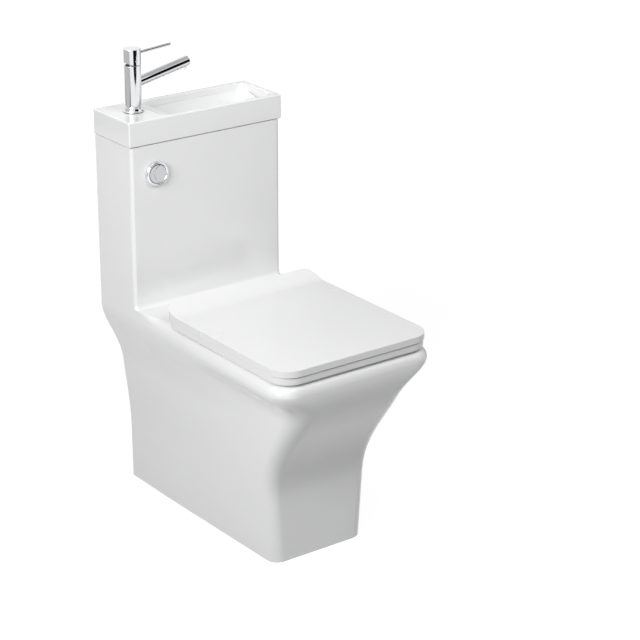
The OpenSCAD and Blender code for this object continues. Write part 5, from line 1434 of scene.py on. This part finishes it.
def make_cards():
    """Cards that show in reflections only: they give the plated pieces their dark and grey bands."""
    tap = spot(TAP_X, TAP_D, 0)
    for name, bearing, lean, distance, height, width, tallness, grey in CARDS:
        bearing, lean = math.radians(bearing), math.radians(lean)
        away = Vector((math.cos(bearing), math.sin(bearing), 0))
        facing = away * math.cos(lean) + UP * math.sin(lean)
        material = bpy.data.materials.new(name)
        material.use_nodes = True
        tree = material.node_tree
        tree.nodes.remove(tree.nodes["Principled BSDF"])
        tone = tree.nodes.new("ShaderNodeEmission")
        tone.inputs["Color"].default_value = (grey, grey, grey, 1)
        tree.links.new(tone.outputs["Emission"], tree.nodes["Material Output"].inputs["Surface"])
        turn = (-facing).to_track_quat("Z", "Y").to_matrix().to_4x4()
        at = Matrix.Translation(tap + away * distance + UP * height)
        card = plane(name, material, at @ turn @ Matrix.Diagonal((width, tallness, 1, 1)))
        card.visible_camera = False
        card.visible_diffuse = False
        card.visible_shadow = False


def make_camera(s):
    data = bpy.data.cameras.new("camera")
    data.lens = s.lens
    data.sensor_width = 36.0
    data.shift_y = s.shift
    camera = bpy.data.objects.new("camera", data)
    camera.location = s.place
    camera.rotation_euler = (math.pi / 2 - s.pitch, 0, s.azimuth)
    bpy.context.scene.collection.objects.link(camera)
    bpy.context.scene.camera = camera


class WC_OT_stage(SimpleOperator):
    """Make the floor, the lamps, the surrounding light and the camera"""
    bl_idname = "wc.stage"
    bl_label = "Stage"

    def execute(self, context):
        scene = context.scene
        make_floor(scene.wc_finishes)
        make_world(scene.wc_stage.sky)
        make_cards()
        make_lamps(scene.wc_stage)
        make_camera(scene.wc_stage)
        scene.view_settings.view_transform = "Standard"
        return {"FINISHED"}


class WC_PT_panel(bpy.types.Panel):
    """Lists what makes each group of pieces"""
    bl_label = "Toilet"
    bl_idname = "WC_PT_panel"
    bl_space_type = "VIEW_3D"
    bl_region_type = "UI"
    bl_category = "Toilet"

    def draw(self, context):
        for operator in OPERATORS:
            self.layout.operator(operator.bl_idname)


GROUPS = {"wc_china": ChinaSizes, "wc_bowl": BowlSizes, "wc_basin": BasinSizes, "wc_tap": TapSizes,
          "wc_seat": SeatSizes, "wc_finishes": Finishes, "wc_stage": StageSizes}
OPERATORS = (WC_OT_finishes, WC_OT_china, WC_OT_basin, WC_OT_seat, WC_OT_tap, WC_OT_fittings, WC_OT_stage)


def register():
    for group in GROUPS.values():
        bpy.utils.register_class(group)
    for name, group in GROUPS.items():
        setattr(bpy.types.Scene, name, PointerProperty(type=group))
    for operator in OPERATORS:
        bpy.utils.register_class(operator)
    bpy.utils.register_class(WC_PT_panel)


def unregister():
    bpy.utils.unregister_class(WC_PT_panel)
    for operator in reversed(OPERATORS):
        bpy.utils.unregister_class(operator)
    for name in GROUPS:
        delattr(bpy.types.Scene, name)
    for group in reversed(GROUPS.values()):
        bpy.utils.unregister_class(group)


def main():
    register()
    bpy.ops.wc.finishes()
    bpy.ops.wc.china()
    bpy.ops.wc.basin()
    bpy.ops.wc.seat()
    bpy.ops.wc.tap()
    bpy.ops.wc.fittings()
    bpy.ops.wc.stage()


if __name__ == "__main__":
    main()
